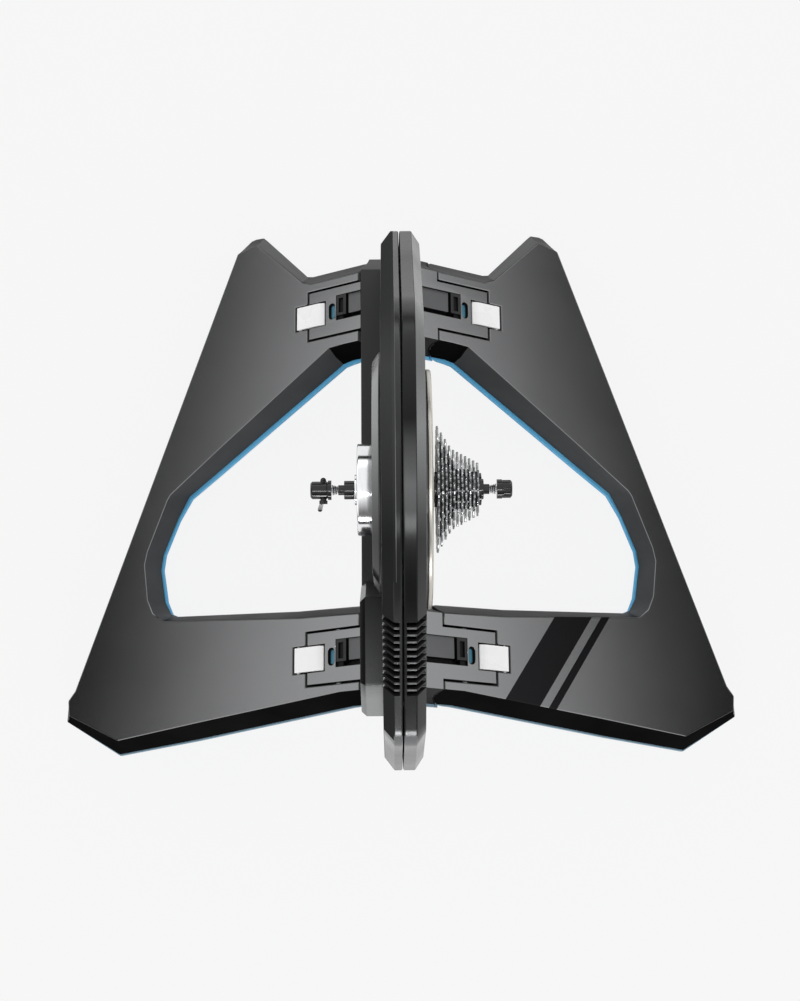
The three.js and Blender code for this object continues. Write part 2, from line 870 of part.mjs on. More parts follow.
// A rubber foot whose top follows a sloping surface.
function foot(centre, size, topAt) {
  const [length, width] = size;
  const corners = [
    [centre[0] - length / 2, centre[1] - width / 2, footCorner],
    [centre[0] + length / 2, centre[1] - width / 2, footCorner],
    [centre[0] + length / 2, centre[1] + width / 2, footCorner],
    [centre[0] - length / 2, centre[1] + width / 2, footCorner],
  ];
  const outline = roundedOutline(corners, 0, 3);
  const sole = prism(outline, 0, wingReach);
  const positions = sole.getAttribute("position");
  for (let i = 0; i < positions.count; i += 1) {
    if (positions.getZ(i) > 0) positions.setZ(i, topAt(positions.getX(i), positions.getY(i)));
  }
  return sole;
}

const shellGeometry = wingShell();
const plateGeometry = underplate();
const leverGeometries = Object.fromEntries(hingeNames.map((name) => [name, latchLever(hingeRuns[name])]));
const tipFoot = foot(tipFootPlace, [tipFootSize, tipFootSize], () => floorTrim - seatGap);
const cornerFootTop = (x, y) => undersideAt(x, y) - seatGap;
const cornerFoot = foot(cornerFootPlace, [cornerFootWidth, cornerFootLength], cornerFootTop);
const feet = { tip: tipFoot, corner: cornerFoot };

// One side's wing with all that moves with it, and the two arms that carry it.
function addWing(side) {
  const { group, wing } = hinges[side];
  add(wing, `wing_${side}`, shellGeometry, "wing");
  add(wing, `wing_underplate_${side}`, plateGeometry, "blue");
  hingeNames.forEach((name) => {
    const run = hingeRuns[name];
    add(group, `hinge_arm_${name}_${side}`, hingeArm(name, side), "frame");
    add(wing, `latch_lever_${name}_${side}`, leverGeometries[name], "white");
    const pin = alongPin(arc([0, 0], pinRadius, 16), run - pinHalfLength, run + pinHalfLength);
    add(group, `hinge_pin_${name}_${side}`, pin, "steel");
  });
  const standing = new THREE.Group();
  standing.scale.x = side === "right" ? 1 : -1;
  trainer.add(standing);
  Object.keys(feet).forEach((name) => add(standing, `foot_${name}_${side}`, feet[name], "rubber"));
}
sides.forEach(addWing);

// Main frame, drawn in the hinges' slope: a beam with a flange on the right for each arm.
const frameGroup = new THREE.Group();
frameGroup.position.z = pinHeight;
frameGroup.rotation.x = -hingeTilt;
trainer.add(frameGroup);
trainer.updateMatrixWorld(true);

const beamProfile = (grow) => [
  [-beamRear - grow, -beamBottom - grow],
  [beamFront + grow, -beamBottom - grow],
  [beamFront + grow, beamTop - beamNoseDrop + grow],
  [beamFront - beamNoseCut + grow, beamTop + grow],
  [-beamRear + beamTailCut - grow, beamTop + grow],
  [-beamRear - grow, beamTop - beamTailDrop + grow],
];
function armFlange(name, left, right, grow) {
  const edges = [earEdges.top[`${name}Aft`] + flangeMargin, earEdges.top[`${name}Fore`] - flangeMargin];
  return block(
    [left, edges[0] - grow, -flangeBottom - grow],
    [right, edges[1] + grow, flangeTop + grow],
  );
}

function mainFrame() {
  const beam = prism(beamProfile(0), -beamLeft, beamRight).applyMatrix4(sideView);
  const flanges = hingeNames.map((name) => armFlange(name, beamRight - overrun, rightFlange, 0));
  const reliefs = hingeNames.flatMap((name) =>
    [-1, 1].map((end) => {
      const start = hingeRuns[name] + (end * armWidth) / 2;
      const stop = start + end * (armWidth + overrun);
      const outline = arc([-hingeHalfSpan, 0], earSwingRadius + earSwingClearance, 32);
      return alongPin(outline, Math.min(start, stop), Math.max(start, stop));
    }),
  );
  const cornerStart = beamFront - beamCornerLength;
  const corner = [
    [-beamLeft - overrun, cornerStart],
    [-beamLeft, cornerStart],
    [-beamLeft + beamCornerWidth, beamFront],
    [-beamLeft + beamCornerWidth, beamFront + overrun],
    [-beamLeft - overrun, beamFront + overrun],
  ];
  const cornerCut = prism(corner, -2 * beamBottom, 2 * beamTop);
  return cut(join([beam, ...flanges]), [...reliefs, cornerCut]);
}
add(frameGroup, "main_frame", mainFrame(), "frame");

// Pieces of the left side are drawn as if on the right, in a mirrored group.
const leftSide = new THREE.Group();
leftSide.scale.x = -1;
trainer.add(leftSide);

// The room that the frame takes in the housing's walls.
const leftBeamRoom = prism(beamProfile(frameClearance), 0, housingLeft + overrun)
  .applyMatrix4(sideView)
  .applyMatrix4(frameGroup.matrixWorld);
const rightBeamRoom = prism(beamProfile(frameClearance), 0, beamRight + frameClearance)
  .applyMatrix4(sideView)
  .applyMatrix4(frameGroup.matrixWorld);
const flangeRooms = hingeNames.map((name) =>
  armFlange(name, 0, housingRight + overrun, frameClearance).applyMatrix4(frameGroup.matrixWorld),
);

// Side outline of the housing: shares of its length from the rear, shares of the height, and corner radii.
const housingShares = [
  [0.271, 0.1527, 0.07],
  [1, 0.1527, 0.03],
  [1, 0.519, 0.06],
  [0.802, 0.955, 0.15],
  [0.635, 1, 0.24],
  [0.405, 1, 0.28],
  [0.095, 0.828, 0.07],
  [0, 0.519, 0.05],
  [0, 0.346, 0.04],
];
const housingCorners = housingShares.map(([along, up, round]) => [
  housingRear + along * housingLength,
  up * overallHeight,
  round * overallHeight,
]);
const cornerSteps = 4;
function housingRing(height, inset) {
  return { outline: roundedOutline(housingCorners, inset, cornerSteps), height };
}

// One half of the housing, from the seam out. Its slots run over the chamfer behind the highest point.
function housingHalf(outer, band) {
  const skin = loft([
    housingRing(seamHalfGap, seamLipDepth),
    housingRing(seamHalfGap + seamLipWidth, 0),
    housingRing(band, 0),
    housingRing(outer, housingChamfer),
  ]);
  const inner = outer - housingWall;
  const hollow = loft([
    housingRing(-overrun, seamLipDepth + housingWall),
    housingRing(band - housingWall / 2, seamLipDepth + housingWall),
    housingRing(inner, housingChamfer + housingWall),
  ]);
  const crest = housingCorners[5];
  const tail = housingCorners[6];
  const slope = Math.atan2(crest[1] - tail[1], crest[0] - tail[0]);
  const vents = Array.from({ length: ventCount }, (unused, i) => {
    const along = ventFirstShare * Math.hypot(crest[0] - tail[0], crest[1] - tail[1]) + i * ventSpacing;
    return block([-ventWidth / 2, -ventDepth, ventInner], [ventWidth / 2, overrun, outer + overrun])
      .rotateZ(slope)
      .translate(tail[0] + along * Math.cos(slope), tail[1] + along * Math.sin(slope), 0);
  });
  return { skin, hollow, vents };
}
const roundTool = (radius, low, high, steps) => prism(arc([0, axleHeight], radius, steps), low, high);

const rightHalf = housingHalf(housingRight, housingBandRight);
const rightTools = [
  rightHalf.hollow,
  ...rightHalf.vents,
  roundTool(motorOpeningRadius, housingRight - housingWall - overrun, housingRight + overrun, 48),
].map((tool) => tool.applyMatrix4(sideView));
const rightShell = cut(rightHalf.skin.applyMatrix4(sideView), [...rightTools, rightBeamRoom, ...flangeRooms]);
add(trainer, "housing_right", rightShell, "shell");

// The power inlet sits square in the sloping underside at the rear of the left half.
const inletStart = housingCorners[8];
const inletEnd = housingCorners[0];
const inletSlope = Math.atan2(inletEnd[1] - inletStart[1], inletEnd[0] - inletStart[0]);
const inletPlace = [
  inletStart[0] + (inletEnd[0] - inletStart[0]) * inletPlaceShare,
  inletStart[1] + (inletEnd[1] - inletStart[1]) * inletPlaceShare,
];
function standOnUnderside(geometry) {
  return geometry
    .rotateY(-Math.PI / 2)
    .rotateX(inletSlope)
    .translate(inletOffset, inletPlace[0], inletPlace[1]);
}

const leftHalf = housingHalf(housingLeft, housingBandLeft);
const leftTools = [
  leftHalf.hollow,
  ...leftHalf.vents,
  roundTool(carrierOpeningRadius, housingLeft - housingWall - overrun, housingLeft + overrun, 32),
].map((tool) => tool.applyMatrix4(sideView));
const inletHole = standOnUnderside(tube(-inletLength, inletLength, inletRadius + frameClearance, 0, 16));
const leftShell = cut(leftHalf.skin.applyMatrix4(sideView), [...leftTools, leftBeamRoom, inletHole]);
add(leftSide, "housing_left", leftShell, "shell");

const inlet = cut(
  join([
    tube(-inletFlange, -seatGap, inletFlangeRadius, 0, 16),
    tube(-inletFlange, inletLength, inletRadius, 0, 16),
  ]),
  [tube(-inletFlange - overrun, inletBoreDepth, inletBoreRadius, 0, 12)],
);
add(leftSide, "power_inlet", standOnUnderside(inlet), "dark");

// Motor plate: a bevelled disc on a foot that follows the beam, cut off along a leaning line at the rear.
function motorPlate() {
  const outlineAt = (inset) => {
    const radius = plateRadius - inset;
    const front = Math.asin(plateFrontShare);
    const rear = Math.acos((-plateCutBack + inset) / radius);
    const footLine = (y) => beamTopAt(y) + seatGap;
    const upper = arc([0, axleHeight], radius, 26, front, rear);
    const cutFoot = -plateCutBack - plateCutLean * plateRadius + inset;
    return [
      [-plateFootRear + inset, footLine(-plateFootRear + inset)],
      [plateFootFront - inset, footLine(plateFootFront - inset)],
      ...upper,
      [cutFoot, axleHeight - plateRadius * plateCutShare],
    ];
  };
  const skin = loft([
    { outline: outlineAt(0), height: plateInnerFace },
    { outline: outlineAt(0), height: plateInnerFace + plateBevel / 4 },
    { outline: outlineAt(plateBevel), height: plateOuterFace },
  ]);
  const bore = roundTool(plateBoreRadius, plateInnerFace - overrun, plateOuterFace + overrun, 24);
  return cut(skin, [bore]).applyMatrix4(sideView);
}
add(leftSide, "motor_plate", motorPlate(), "frame");

// Electronics cover, open to the housing, with posts for the board.
const coverOutline = (inset) => [
  [coverFront + coverFrontSlope - inset, beamTopAt(coverFront + coverFrontSlope - inset) + seatGap + inset],
  [coverFront - inset, coverTopFront - inset],
  [coverCrest + inset / 2, coverTopRear - inset],
  [coverRear + inset, beamTopAt(coverRear + inset) + seatGap + inset],
];
const coverTopMiddle = (coverTopFront + coverTopRear) / 2;
const boardCentreZ = (beamTopAt(boardCentreY) + coverTopMiddle) / 2;
const boardHeight = (coverTopMiddle - beamTopAt(boardCentreY)) * boardHeightShare;
const boardPosts = [-1, 1].flatMap((y) =>
  [-1, 1].map((z) => [
    boardCentreY + y * (boardLength / 2 - 2 * boardPostRadius),
    boardCentreZ + z * (boardHeight / 2 - 2 * boardPostRadius),
  ]),
);
function electronicsCover() {
  const skin = loft([
    { outline: coverOutline(0), height: plateInnerFace },
    { outline: coverOutline(0), height: coverOuterFace - coverBevel },
    { outline: coverOutline(coverBevel), height: coverOuterFace },
  ]);
  const hollow = loft([
    { outline: coverOutline(coverWall), height: plateInnerFace - overrun },
    { outline: coverOutline(coverWall), height: coverOuterFace - coverBevel },
    { outline: coverOutline(coverBevel + coverWall / 2), height: coverOuterFace - coverWall },
  ]);
  const postFace = boardFace + boardThickness + seatGap;
  const posts = boardPosts.map((centre) =>
    prism(arc(centre, boardPostRadius, 8), postFace, coverOuterFace - coverWall / 2),
  );
  return join([cut(skin, [hollow]), ...posts]).applyMatrix4(sideView);
}
add(leftSide, "electronics_cover", electronicsCover(), "shell");

function circuitBoard() {
  const half = [boardLength / 2, boardHeight / 2];
  const board = block(
    [boardCentreY - half[0], boardCentreZ - half[1], boardFace],
    [boardCentreY + half[0], boardCentreZ + half[1], boardFace + boardThickness],
  );
  const chips = [-1, 0, 1].map((place) => {
    const middle = boardCentreY + place * chipSpacing;
    return block(
      [middle - chipSize / 2, boardCentreZ - chipSize / 2, boardFace - chipHeight],
      [middle + chipSize / 2, boardCentreZ + chipSize / 2, boardFace + seatGap],
    );
  });
  return join([board, ...chips]).applyMatrix4(sideView);
}
add(leftSide, "circuit_board", circuitBoard(), "board");

// Everything about the axle is drawn with the axle as its X line.
const hub = new THREE.Group();
hub.position.z = axleHeight;
trainer.add(hub);

add(hub, "axle", tube(axleLeft, axleRight, axleRadius, rodRadius + boreClearance, 16), "steel");

// End adapters: a shoulder that the dropout rests on, and a stub that the dropout's slot takes.
function adapter(inner, shoulder, radius, outward) {
  const bore = rodRadius + boreClearance;
  const end = shoulder + outward * stubLength;
  return turned(
    [
      [inner, bore],
      [end, bore],
      [end, stubRadius],
      [shoulder, stubRadius],
      [shoulder, radius],
      [inner, radius],
    ],
    16,
  );
}
add(hub, "end_adapter_left", adapter(adapterLeftInner, leftShoulder, adapterRadius, -1), "dark");
add(hub, "end_adapter_right", adapter(axleRight + seatGap, rightShoulder, lastAdapterRadius, 1), "dark");

// Hub cap and its centre disc
const capProfile = [
  [capRight, capRadius - capWall],
  [capRight, capRadius],
  [capLeft + capBevel, capRadius],
  [capLeft, capRadius - capBevel],
  [capLeft, capBoreRadius],
  [capLeft + capWall, capBoreRadius],
  [capLeft + capWall, capRadius - capWall],
];
add(hub, "hub_cap", turned(capProfile, 32), "silver");
const capDiscRight = capLeft - capDiscGap;
const capDisc = tube(capDiscRight - capDiscThickness, capDiscRight, capDiscRadius, axleRadius + seatGap, 24);
add(hub, "hub_cap_disc", capDisc, "silver");

// Stator: carrier on the axle, toothed core and its windings
const carrierProfile = [
  [carrierHubLeft, axleRadius + seatGap],
  [carrierHubRight, axleRadius + seatGap],
  [carrierHubRight, carrierHubRadius],
  [carrierWebLeft + carrierWebThickness, carrierHubRadius],
  [carrierWebLeft + carrierWebThickness, carrierRimInner],
  [carrierRimRight, carrierRimInner],
  [carrierRimRight, carrierRimOuter],
  [carrierWebLeft, carrierRimOuter],
  [carrierWebLeft, carrierHubRadius],
  [carrierHubLeft, carrierHubRadius],
];
add(hub, "stator_carrier", turned(carrierProfile, 24), "silver");

const toothAngles = Array.from({ length: coreTeeth }, (unused, i) => (2 * Math.PI * i) / coreTeeth);
const yokeRadius = carrierRimOuter + seatGap + coreYoke;
function coreOutline() {
  const tipRadius = coreOuterRadius - toothTipDepth;
  return toothAngles.flatMap((angle) => {
    const at = (radius, width) => {
      const turn = angle + Math.asin(width / 2 / radius);
      return [radius * Math.cos(turn), radius * Math.sin(turn)];
    };
    return [
      at(yokeRadius, -toothWidth),
      at(tipRadius, -toothWidth),
      at(tipRadius + toothTipDepth / 2, -toothTipWidth),
      at(coreOuterRadius, -toothTipWidth),
      at(coreOuterRadius, toothTipWidth),
      at(tipRadius + toothTipDepth / 2, toothTipWidth),
      at(tipRadius, toothWidth),
      at(yokeRadius, toothWidth),
    ];
  });
}
const coreBore = arc([0, 0], carrierRimOuter + seatGap, 36);
const core = prism(coreOutline(), coreLeft, coreRight, [coreBore]);
add(hub, "stator_core", core.applyMatrix4(sideView), "steel");

function windings() {
  const inner = yokeRadius + seatGap;
  const ring = tube(coreLeft - windingEndTurn, coreRight + windingEndTurn, windingOuterRadius, inner, 36);
  const slots = toothAngles.map((angle) => {
    const half = toothWidth / 2 + seatGap;
    const slot = block(
      [inner - overrun, -half, coreLeft - seatGap],
      [windingOuterRadius + overrun, half, coreRight + seatGap],
    );
    return slot.rotateZ(angle).applyMatrix4(sideView);
  });
  return cut(ring, slots);
}
add(hub, "stator_windings", windings(), "copper");

// Rotor: magnet ring in a cup, and the disc that shows beside the cassette
const magnetInnerRadius = coreOuterRadius + airGap;
const cupInnerRadius = magnetInnerRadius + magnetThickness + magnetBack + seatGap;
function magnetRing() {
  const magnetShares = [-0.4, 0.4, 0.42, 0.58];
  const pitch = (2 * Math.PI) / magnetCount;
  const back = magnetInnerRadius + magnetThickness;
  const radii = [magnetInnerRadius, magnetInnerRadius, back, back];
  const bore = Array.from({ length: magnetCount }, (unused, i) => i).flatMap((i) =>
    magnetShares.map((share, k) => {
      const angle = (i + share) * pitch;
      return [radii[k] * Math.cos(angle), radii[k] * Math.sin(angle)];
    }),
  );
  const middle = (coreLeft + coreRight) / 2;
  const outer = arc([0, 0], cupInnerRadius - seatGap, magnetCount);
  return prism(outer, middle - magnetLength / 2, middle + magnetLength / 2, [bore]).applyMatrix4(sideView);
}
add(hub, "rotor_magnets", magnetRing(), "steel");

const hubBore = bearingRadius + runningClearance;
const cupOuterRadius = cupInnerRadius + cupWall;
const cupProfile = [
  [rotorHubLeft, hubBore],
  [rotorHubRight, hubBore],
  [rotorHubRight, rotorHubRadius - 2 * discBevel],
  [cupWebLeft + cupWebThickness, rotorHubRadius],
  [cupWebLeft + cupWebThickness, cupOuterRadius],
  [cupLeft, cupOuterRadius],
  [cupLeft, cupInnerRadius],
  [cupWebLeft, cupInnerRadius],
  [cupWebLeft, rotorHubRadius],
  [rotorHubLeft, rotorHubRadius],
];
add(hub, "rotor_cup", turned(cupProfile, 32), "steel");

const discRight = discLeft + discThickness;
const discProfile = [
  [discLeft, rotorHubRadius + seatGap],
  [discRight, rotorHubRadius + seatGap],
  [discRight, discRadius - discBevel],
  [discRight - discBevel, discRadius],
  [discLeft, discRadius],
];
add(hub, "rotor_disc", turned(discProfile, 40), "ivory");

// A ball bearing with its shield set back between the rings.
function bearing(left, bore, radius, width) {
  const right = left + width;
  return turned(
    [
      [left, bore],
      [right, bore],
      [right, bore + bearingRingWidth],
      [right - bearingShieldDepth, bore + bearingRingWidth],
      [right - bearingShieldDepth, radius - bearingRingWidth],
      [right, radius - bearingRingWidth],
      [right, radius],
      [left, radius],
    ],
    16,
  );
}
const bearingBore = axleRadius + runningClearance;
add(hub, "bearing_left", bearing(bearingLeftStart, bearingBore, bearingRadius, bearingWidth), "steel");
add(hub, "bearing_right", bearing(bearingRightStart, bearingBore, bearingRadius, bearingWidth), "steel");

// Freehub body: a splined sleeve on its own bearing
function splineOutline(radius, depth) {
  const splineShares = [-0.32, 0.32, 0.5];
  const pitch = (2 * Math.PI) / splineCount;
  const radii = [radius, radius, radius - depth];
  return Array.from({ length: splineCount }, (unused, i) => i).flatMap((i) =>
    splineShares.map((share, k) => {
      const angle = (i + share) * pitch;
      return [radii[k] * Math.cos(angle), radii[k] * Math.sin(angle)];
    }),
  );
}
const freehubBore = arc([0, 0], freehubBoreRadius + runningClearance, 20);
const freehub = prism(splineOutline(freehubRadius, splineDepth), freehubLeft, freehubRight, [freehubBore]);
add(hub, "freehub_body", freehub.applyMatrix4(sideView), "steel");
const freehubBearingLeft = freehubRight - freehubBearingInset - freehubBearingWidth;
const freehubBearing = bearing(freehubBearingLeft, bearingBore, freehubBoreRadius, freehubBearingWidth);
add(hub, "freehub_bearing", freehubBearing, "steel");

// Sprockets. The bore follows the freehub's splines.
const sprocketBore = splineOutline(freehubRadius + splineBoreClearance, splineDepth);
function sprocketOutline(teeth) {
  const pitchRadius = chainPitch / 2 / Math.sin(Math.PI / teeth);
  const tip = pitchRadius + toothRise;
  const radii = [pitchRadius - rollerSeat, tip, tip];
  const pitch = (2 * Math.PI) / teeth;
  return Array.from({ length: teeth }, (unused, i) => i).flatMap((i) =>
    toothPlaceShares.map((share, k) => {
      const angle = (i + share) * pitch;
      return [radii[k] * Math.cos(angle), radii[k] * Math.sin(angle)];
    }),
  );
}

// Sprockets from one place on the freehub to another, in one piece, with the spacer that keeps the next one
// off.
function sprockets(first, count) {
  const leftOf = (index) => firstSprocket + index * sprocketPitch - sprocketThickness / 2;
  const wheels = Array.from({ length: count }, (unused, i) => {
    const left = leftOf(first + i);
    return prism(sprocketOutline(sprocketTeeth[first + i]), left, left + sprocketThickness);
  });
  const end = first + count;
  const spaced = sprocketTeeth[end] >= leastSpacedTeeth;
  const carrierLeft = leftOf(first) + sprocketThickness / 2;
  const plainRight = leftOf(end) - sprocketPitch + sprocketThickness / 2;
  const carrierRight = spaced ? leftOf(end) - spacerClearance : plainRight;
  const carrier = prism(arc([0, 0], spacerRadius, spacerSteps), carrierLeft, carrierRight);
  const body = count > 1 || spaced ? join([...wheels, carrier]) : wheels[0];
  const bore = prism(sprocketBore, leftOf(first) - overrun, leftOf(end) + overrun);
  return cut(body, [bore]).applyMatrix4(sideView);
}

// The largest sprockets come in groups on a common carrier, and the rest are loose.
let placed = 0;
Object.entries(groupTeeth).forEach(([name, teeth]) => {
  add(hub, name, sprockets(placed, teeth.length), "steel");
  placed += teeth.length;
});
looseTeeth.forEach((teeth, i) => {
  add(hub, `sprocket_${teeth}`, sprockets(placed + i, 1), "steel");
});

// Lockring, with a notched bore for its tool
const lastSprocket = firstSprocket + (sprocketTeeth.length - 1) * sprocketPitch;
const lockringLeft = lastSprocket + sprocketThickness / 2 + seatGap;
function lockring() {
  const pitch = (2 * Math.PI) / lockringNotches;
  const notchHalf = lockringNotchWidth / 2 / lockringBoreRadius;
  const bore = Array.from({ length: lockringNotches }, (unused, i) => i).flatMap((i) => {
    const angles = [i * pitch - notchHalf, i * pitch + notchHalf];
    const deep = lockringBoreRadius + lockringNotchDepth;
    const point = (radius, angle) => [radius * Math.cos(angle), radius * Math.sin(angle)];
    return [
      point(lockringBoreRadius, angles[0]),
      point(deep, angles[0]),
      point(deep, angles[1]),
      point(lockringBoreRadius, angles[1]),
    ];
  });
  const outer = arc([0, 0], lockringRadius, 24);
  return prism(outer, lockringLeft, lockringLeft + lockringThickness, [bore]).applyMatrix4(sideView);
}
add(hub, "lockring", lockring(), "dark");

// Quick release: rod, cam housing, lever, springs and nut
function skewerRod() {
  const rod = turned(
    [
      [rodHeadLeft, 0],
      [rodRight, 0],
      [rodRight, rodRadius],
      [rodHeadRight, rodRadius],
      [rodHeadRight, rodHeadRadius],
      [rodHeadLeft, rodHeadRadius],
    ],
    12,
  );
  const eye = arc([camAxis, 0], camNeckRadius + boreClearance, 12);
  return cut(rod, [alongPin(eye, -2 * rodHeadRadius, 2 * rodHeadRadius)]);
}
add(hub, "skewer_rod", skewerRod(), "steel");

function camHousing() {
  const body = turned(
    [
      [camBodyLeft, 0],
      [camFlangeRight, 0],
      [camFlangeRight, camFlangeRadius],
      [camBodyRight, camFlangeRadius],
      [camBodyRight, camBodyRadius - camGrooveDepth],
      [camGrooveLeft, camBodyRadius - camGrooveDepth],
      [camGrooveLeft, camBodyRadius],
      [camBodyLeft + camBodyBevel, camBodyRadius],
      [camBodyLeft, camBodyRadius - camBodyBevel],
    ],
    20,
  );
  const rodBore = turned(
    [
      [rodHeadLeft - seatGap, 0],
      [camFlangeRight + overrun, 0],
      [camFlangeRight + overrun, rodHeadRadius + boreClearance],
      [rodHeadLeft - seatGap, rodHeadRadius + boreClearance],
    ],
    12,
  );
  const camBore = alongPin(
    arc([camAxis, 0], camPinRadius + boreClearance, 12),
    -camFlangeRadius - overrun,
    camFlangeRadius + overrun,
  );
  return cut(body, [rodBore, camBore]);
}
add(hub, "cam_housing", camHousing(), "dark");

// The cam lever: a pin through the housing, a domed end in front and the blade behind.
function camLever() {
  const back = -camBodyRadius - camLeverGap;
  const eyeHalf = rodHeadRadius + boreClearance;
  const pin = arc([camAxis, 0], camPinRadius, 12);
  const pins = [
    alongPin(pin, back - camLeverHubThickness, -eyeHalf),
    alongPin(pin, eyeHalf, camBodyRadius + camBallOut),
    alongPin(arc([camAxis, 0], camNeckRadius, 12), back, -back),
  ];
  const ball = new THREE.SphereGeometry(camBallRadius, 12, 8);
  ball.translate(camAxis, camBodyRadius + camBallOut, 0);
  const hubDisc = alongPin(arc([camAxis, 0], camLeverHubRadius, 16), back - camLeverHubThickness, back);
  const bladeAt = (share) => [
    camAxis - camLeverLean * share,
    back - camLeverHubThickness / 2 - camLeverSweep * share * share,
  ];
  const bladeSection = (share) => {
    const half = (camLeverRootWidth + (camLeverTipWidth - camLeverRootWidth) * share) / 2;
    const [lean, sweep] = bladeAt(share);
    const outline = arc([0, 0], half, camLeverSteps).map(([x, y]) => [
      lean + x,
      sweep + (y / half) * (camLeverThickness / 2),
    ]);
    return { outline, height: -camLeverLength * share };
  };
  const bladeShares = [1, 0.75, 0.5, 0.25, 0];
  const blade = loft(bladeShares.map(bladeSection));
  const tip = new THREE.SphereGeometry(camLeverTipWidth / 2, camLeverSteps, camLeverSteps);
  tip.translate(...bladeAt(1), -camLeverLength);
  return join([...pins, ball, hubDisc, blade, tip]);
}
add(hub, "cam_lever", camLever(), "dark");

// Prints a spring's least gap between curls and stops if they come too close.
function measureSpring(centres) {
  let least = Infinity;
  centres.forEach((first, i) => {
    centres.slice(i + springSteps / 2).forEach((second) => {
      least = Math.min(least, first.distanceTo(second) - 2 * springWire);
    });
  });
  console.log(`least gap between spring curls: ${least.toFixed(2)} mm`);
  if (least < springLeastGap) throw new Error("the spring's curls are too close");
}

// A conical spring from a small end to a large one, as one unbroken tube with straight ends.
function coneSpring(start, end, smallFirst) {
  const direction = Math.sign(end - start);
  const length = Math.abs(end - start) - 2 * (springWire + seatGap);
  const count = springCurls * springSteps;
  const radii = smallFirst ? [springSmallRadius, springLargeRadius] : [springLargeRadius, springSmallRadius];
  const centres = Array.from({ length: count + 1 }, (unused, i) => {
    const share = i / count;
    const angle = 2 * Math.PI * springCurls * share;
    const radius = radii[0] + (radii[1] - radii[0]) * share;
    const x = start + direction * (springWire + seatGap + length * share);
    return new THREE.Vector3(x, radius * Math.cos(angle), radius * Math.sin(angle));
  });
  const tangentAt = (i) => {
    const before = centres[Math.max(i - 1, 0)];
    const after = centres[Math.min(i + 1, count)];
    return after.clone().sub(before).normalize();
  };
  centres.unshift(centres[0].clone().addScaledVector(tangentAt(0), -2 * springWire));
  centres.push(centres[centres.length - 1].clone().addScaledVector(tangentAt(count), 2 * springWire));
  const positions = [];
  const ringAt = (i) => {
    const centre = centres[i];
    const before = centres[Math.max(i - 1, 0)];
    const after = centres[Math.min(i + 1, centres.length - 1)];
    const along = after.clone().sub(before).normalize();
    const outward = new THREE.Vector3(0, centre.y, centre.z).normalize();
    outward.addScaledVector(along, -outward.dot(along)).normalize();
    const across = along.clone().cross(outward);
    return Array.from({ length: springSides }, (unused, k) => {
      const angle = (2 * Math.PI * k) / springSides;
      const point = centre.clone().addScaledVector(outward, springWire * Math.cos(angle));
      return point.addScaledVector(across, springWire * Math.sin(angle));
    });
  };
  measureSpring(centres);
  const rings = centres.map((unused, i) => ringAt(i));
  const face = (...points) => points.forEach((point) => positions.push(point.x, point.y, point.z));
  for (let i = 0; i + 1 < rings.length; i += 1) {
    for (let k = 0; k < springSides; k += 1) {
      const next = (k + 1) % springSides;
      face(rings[i][k], rings[i][next], rings[i + 1][next]);
      face(rings[i][k], rings[i + 1][next], rings[i + 1][k]);
    }
  }
  const last = rings.length - 1;
  for (let k = 1; k + 1 < springSides; k += 1) {
    face(rings[0][0], rings[0][k + 1], rings[0][k]);
    face(rings[last][0], rings[last][k], rings[last][k + 1]);
  }
  return new THREE.BufferGeometry().setAttribute("position", new THREE.Float32BufferAttribute(positions, 3));
}
const leftStubEnd = leftShoulder - stubLength;
const rightStubEnd = rightShoulder + stubLength;
add(hub, "spring_left", coneSpring(leftStubEnd, camFlangeRight, true), "steel");
add(hub, "spring_right", coneSpring(rightStubEnd, nutLeft, true), "steel");

function skewerNut() {
  const body = turned(
    [
      [nutLeft, rodRadius + boreClearance],
      [rodRight + seatGap, rodRadius + boreClearance],
      [rodRight + seatGap, 0],
      [nutRight, 0],
      [nutRight, nutRadius - nutBevel],
      [nutRight - nutBevel, nutRadius],
      [nutLeft + nutFlange, nutRadius],
      [nutLeft + nutFlange, nutFlangeRadius],
      [nutLeft, nutFlangeRadius],
    ],
    20,
  );
  const grips = Array.from({ length: nutGrips }, (unused, i) => {
    const low = [nutLeft + nutFlange + nutGripWidth, -nutGripWidth / 2, nutRadius - nutGripDepth];
    const high = [nutRight - nutGripWidth, nutGripWidth / 2, nutRadius + overrun];
    return block(low, high).rotateX((2 * Math.PI * i) / nutGrips);
  });
  return cut(body, grips);
}
add(hub, "skewer_nut", skewerNut(), "dark");

export default trainer;
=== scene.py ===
"""Looks of the direct drive bike trainer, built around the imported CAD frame. Metres, +Z up."""

import json
import math

import bmesh
import bpy
from mathutils import Matrix, Vector

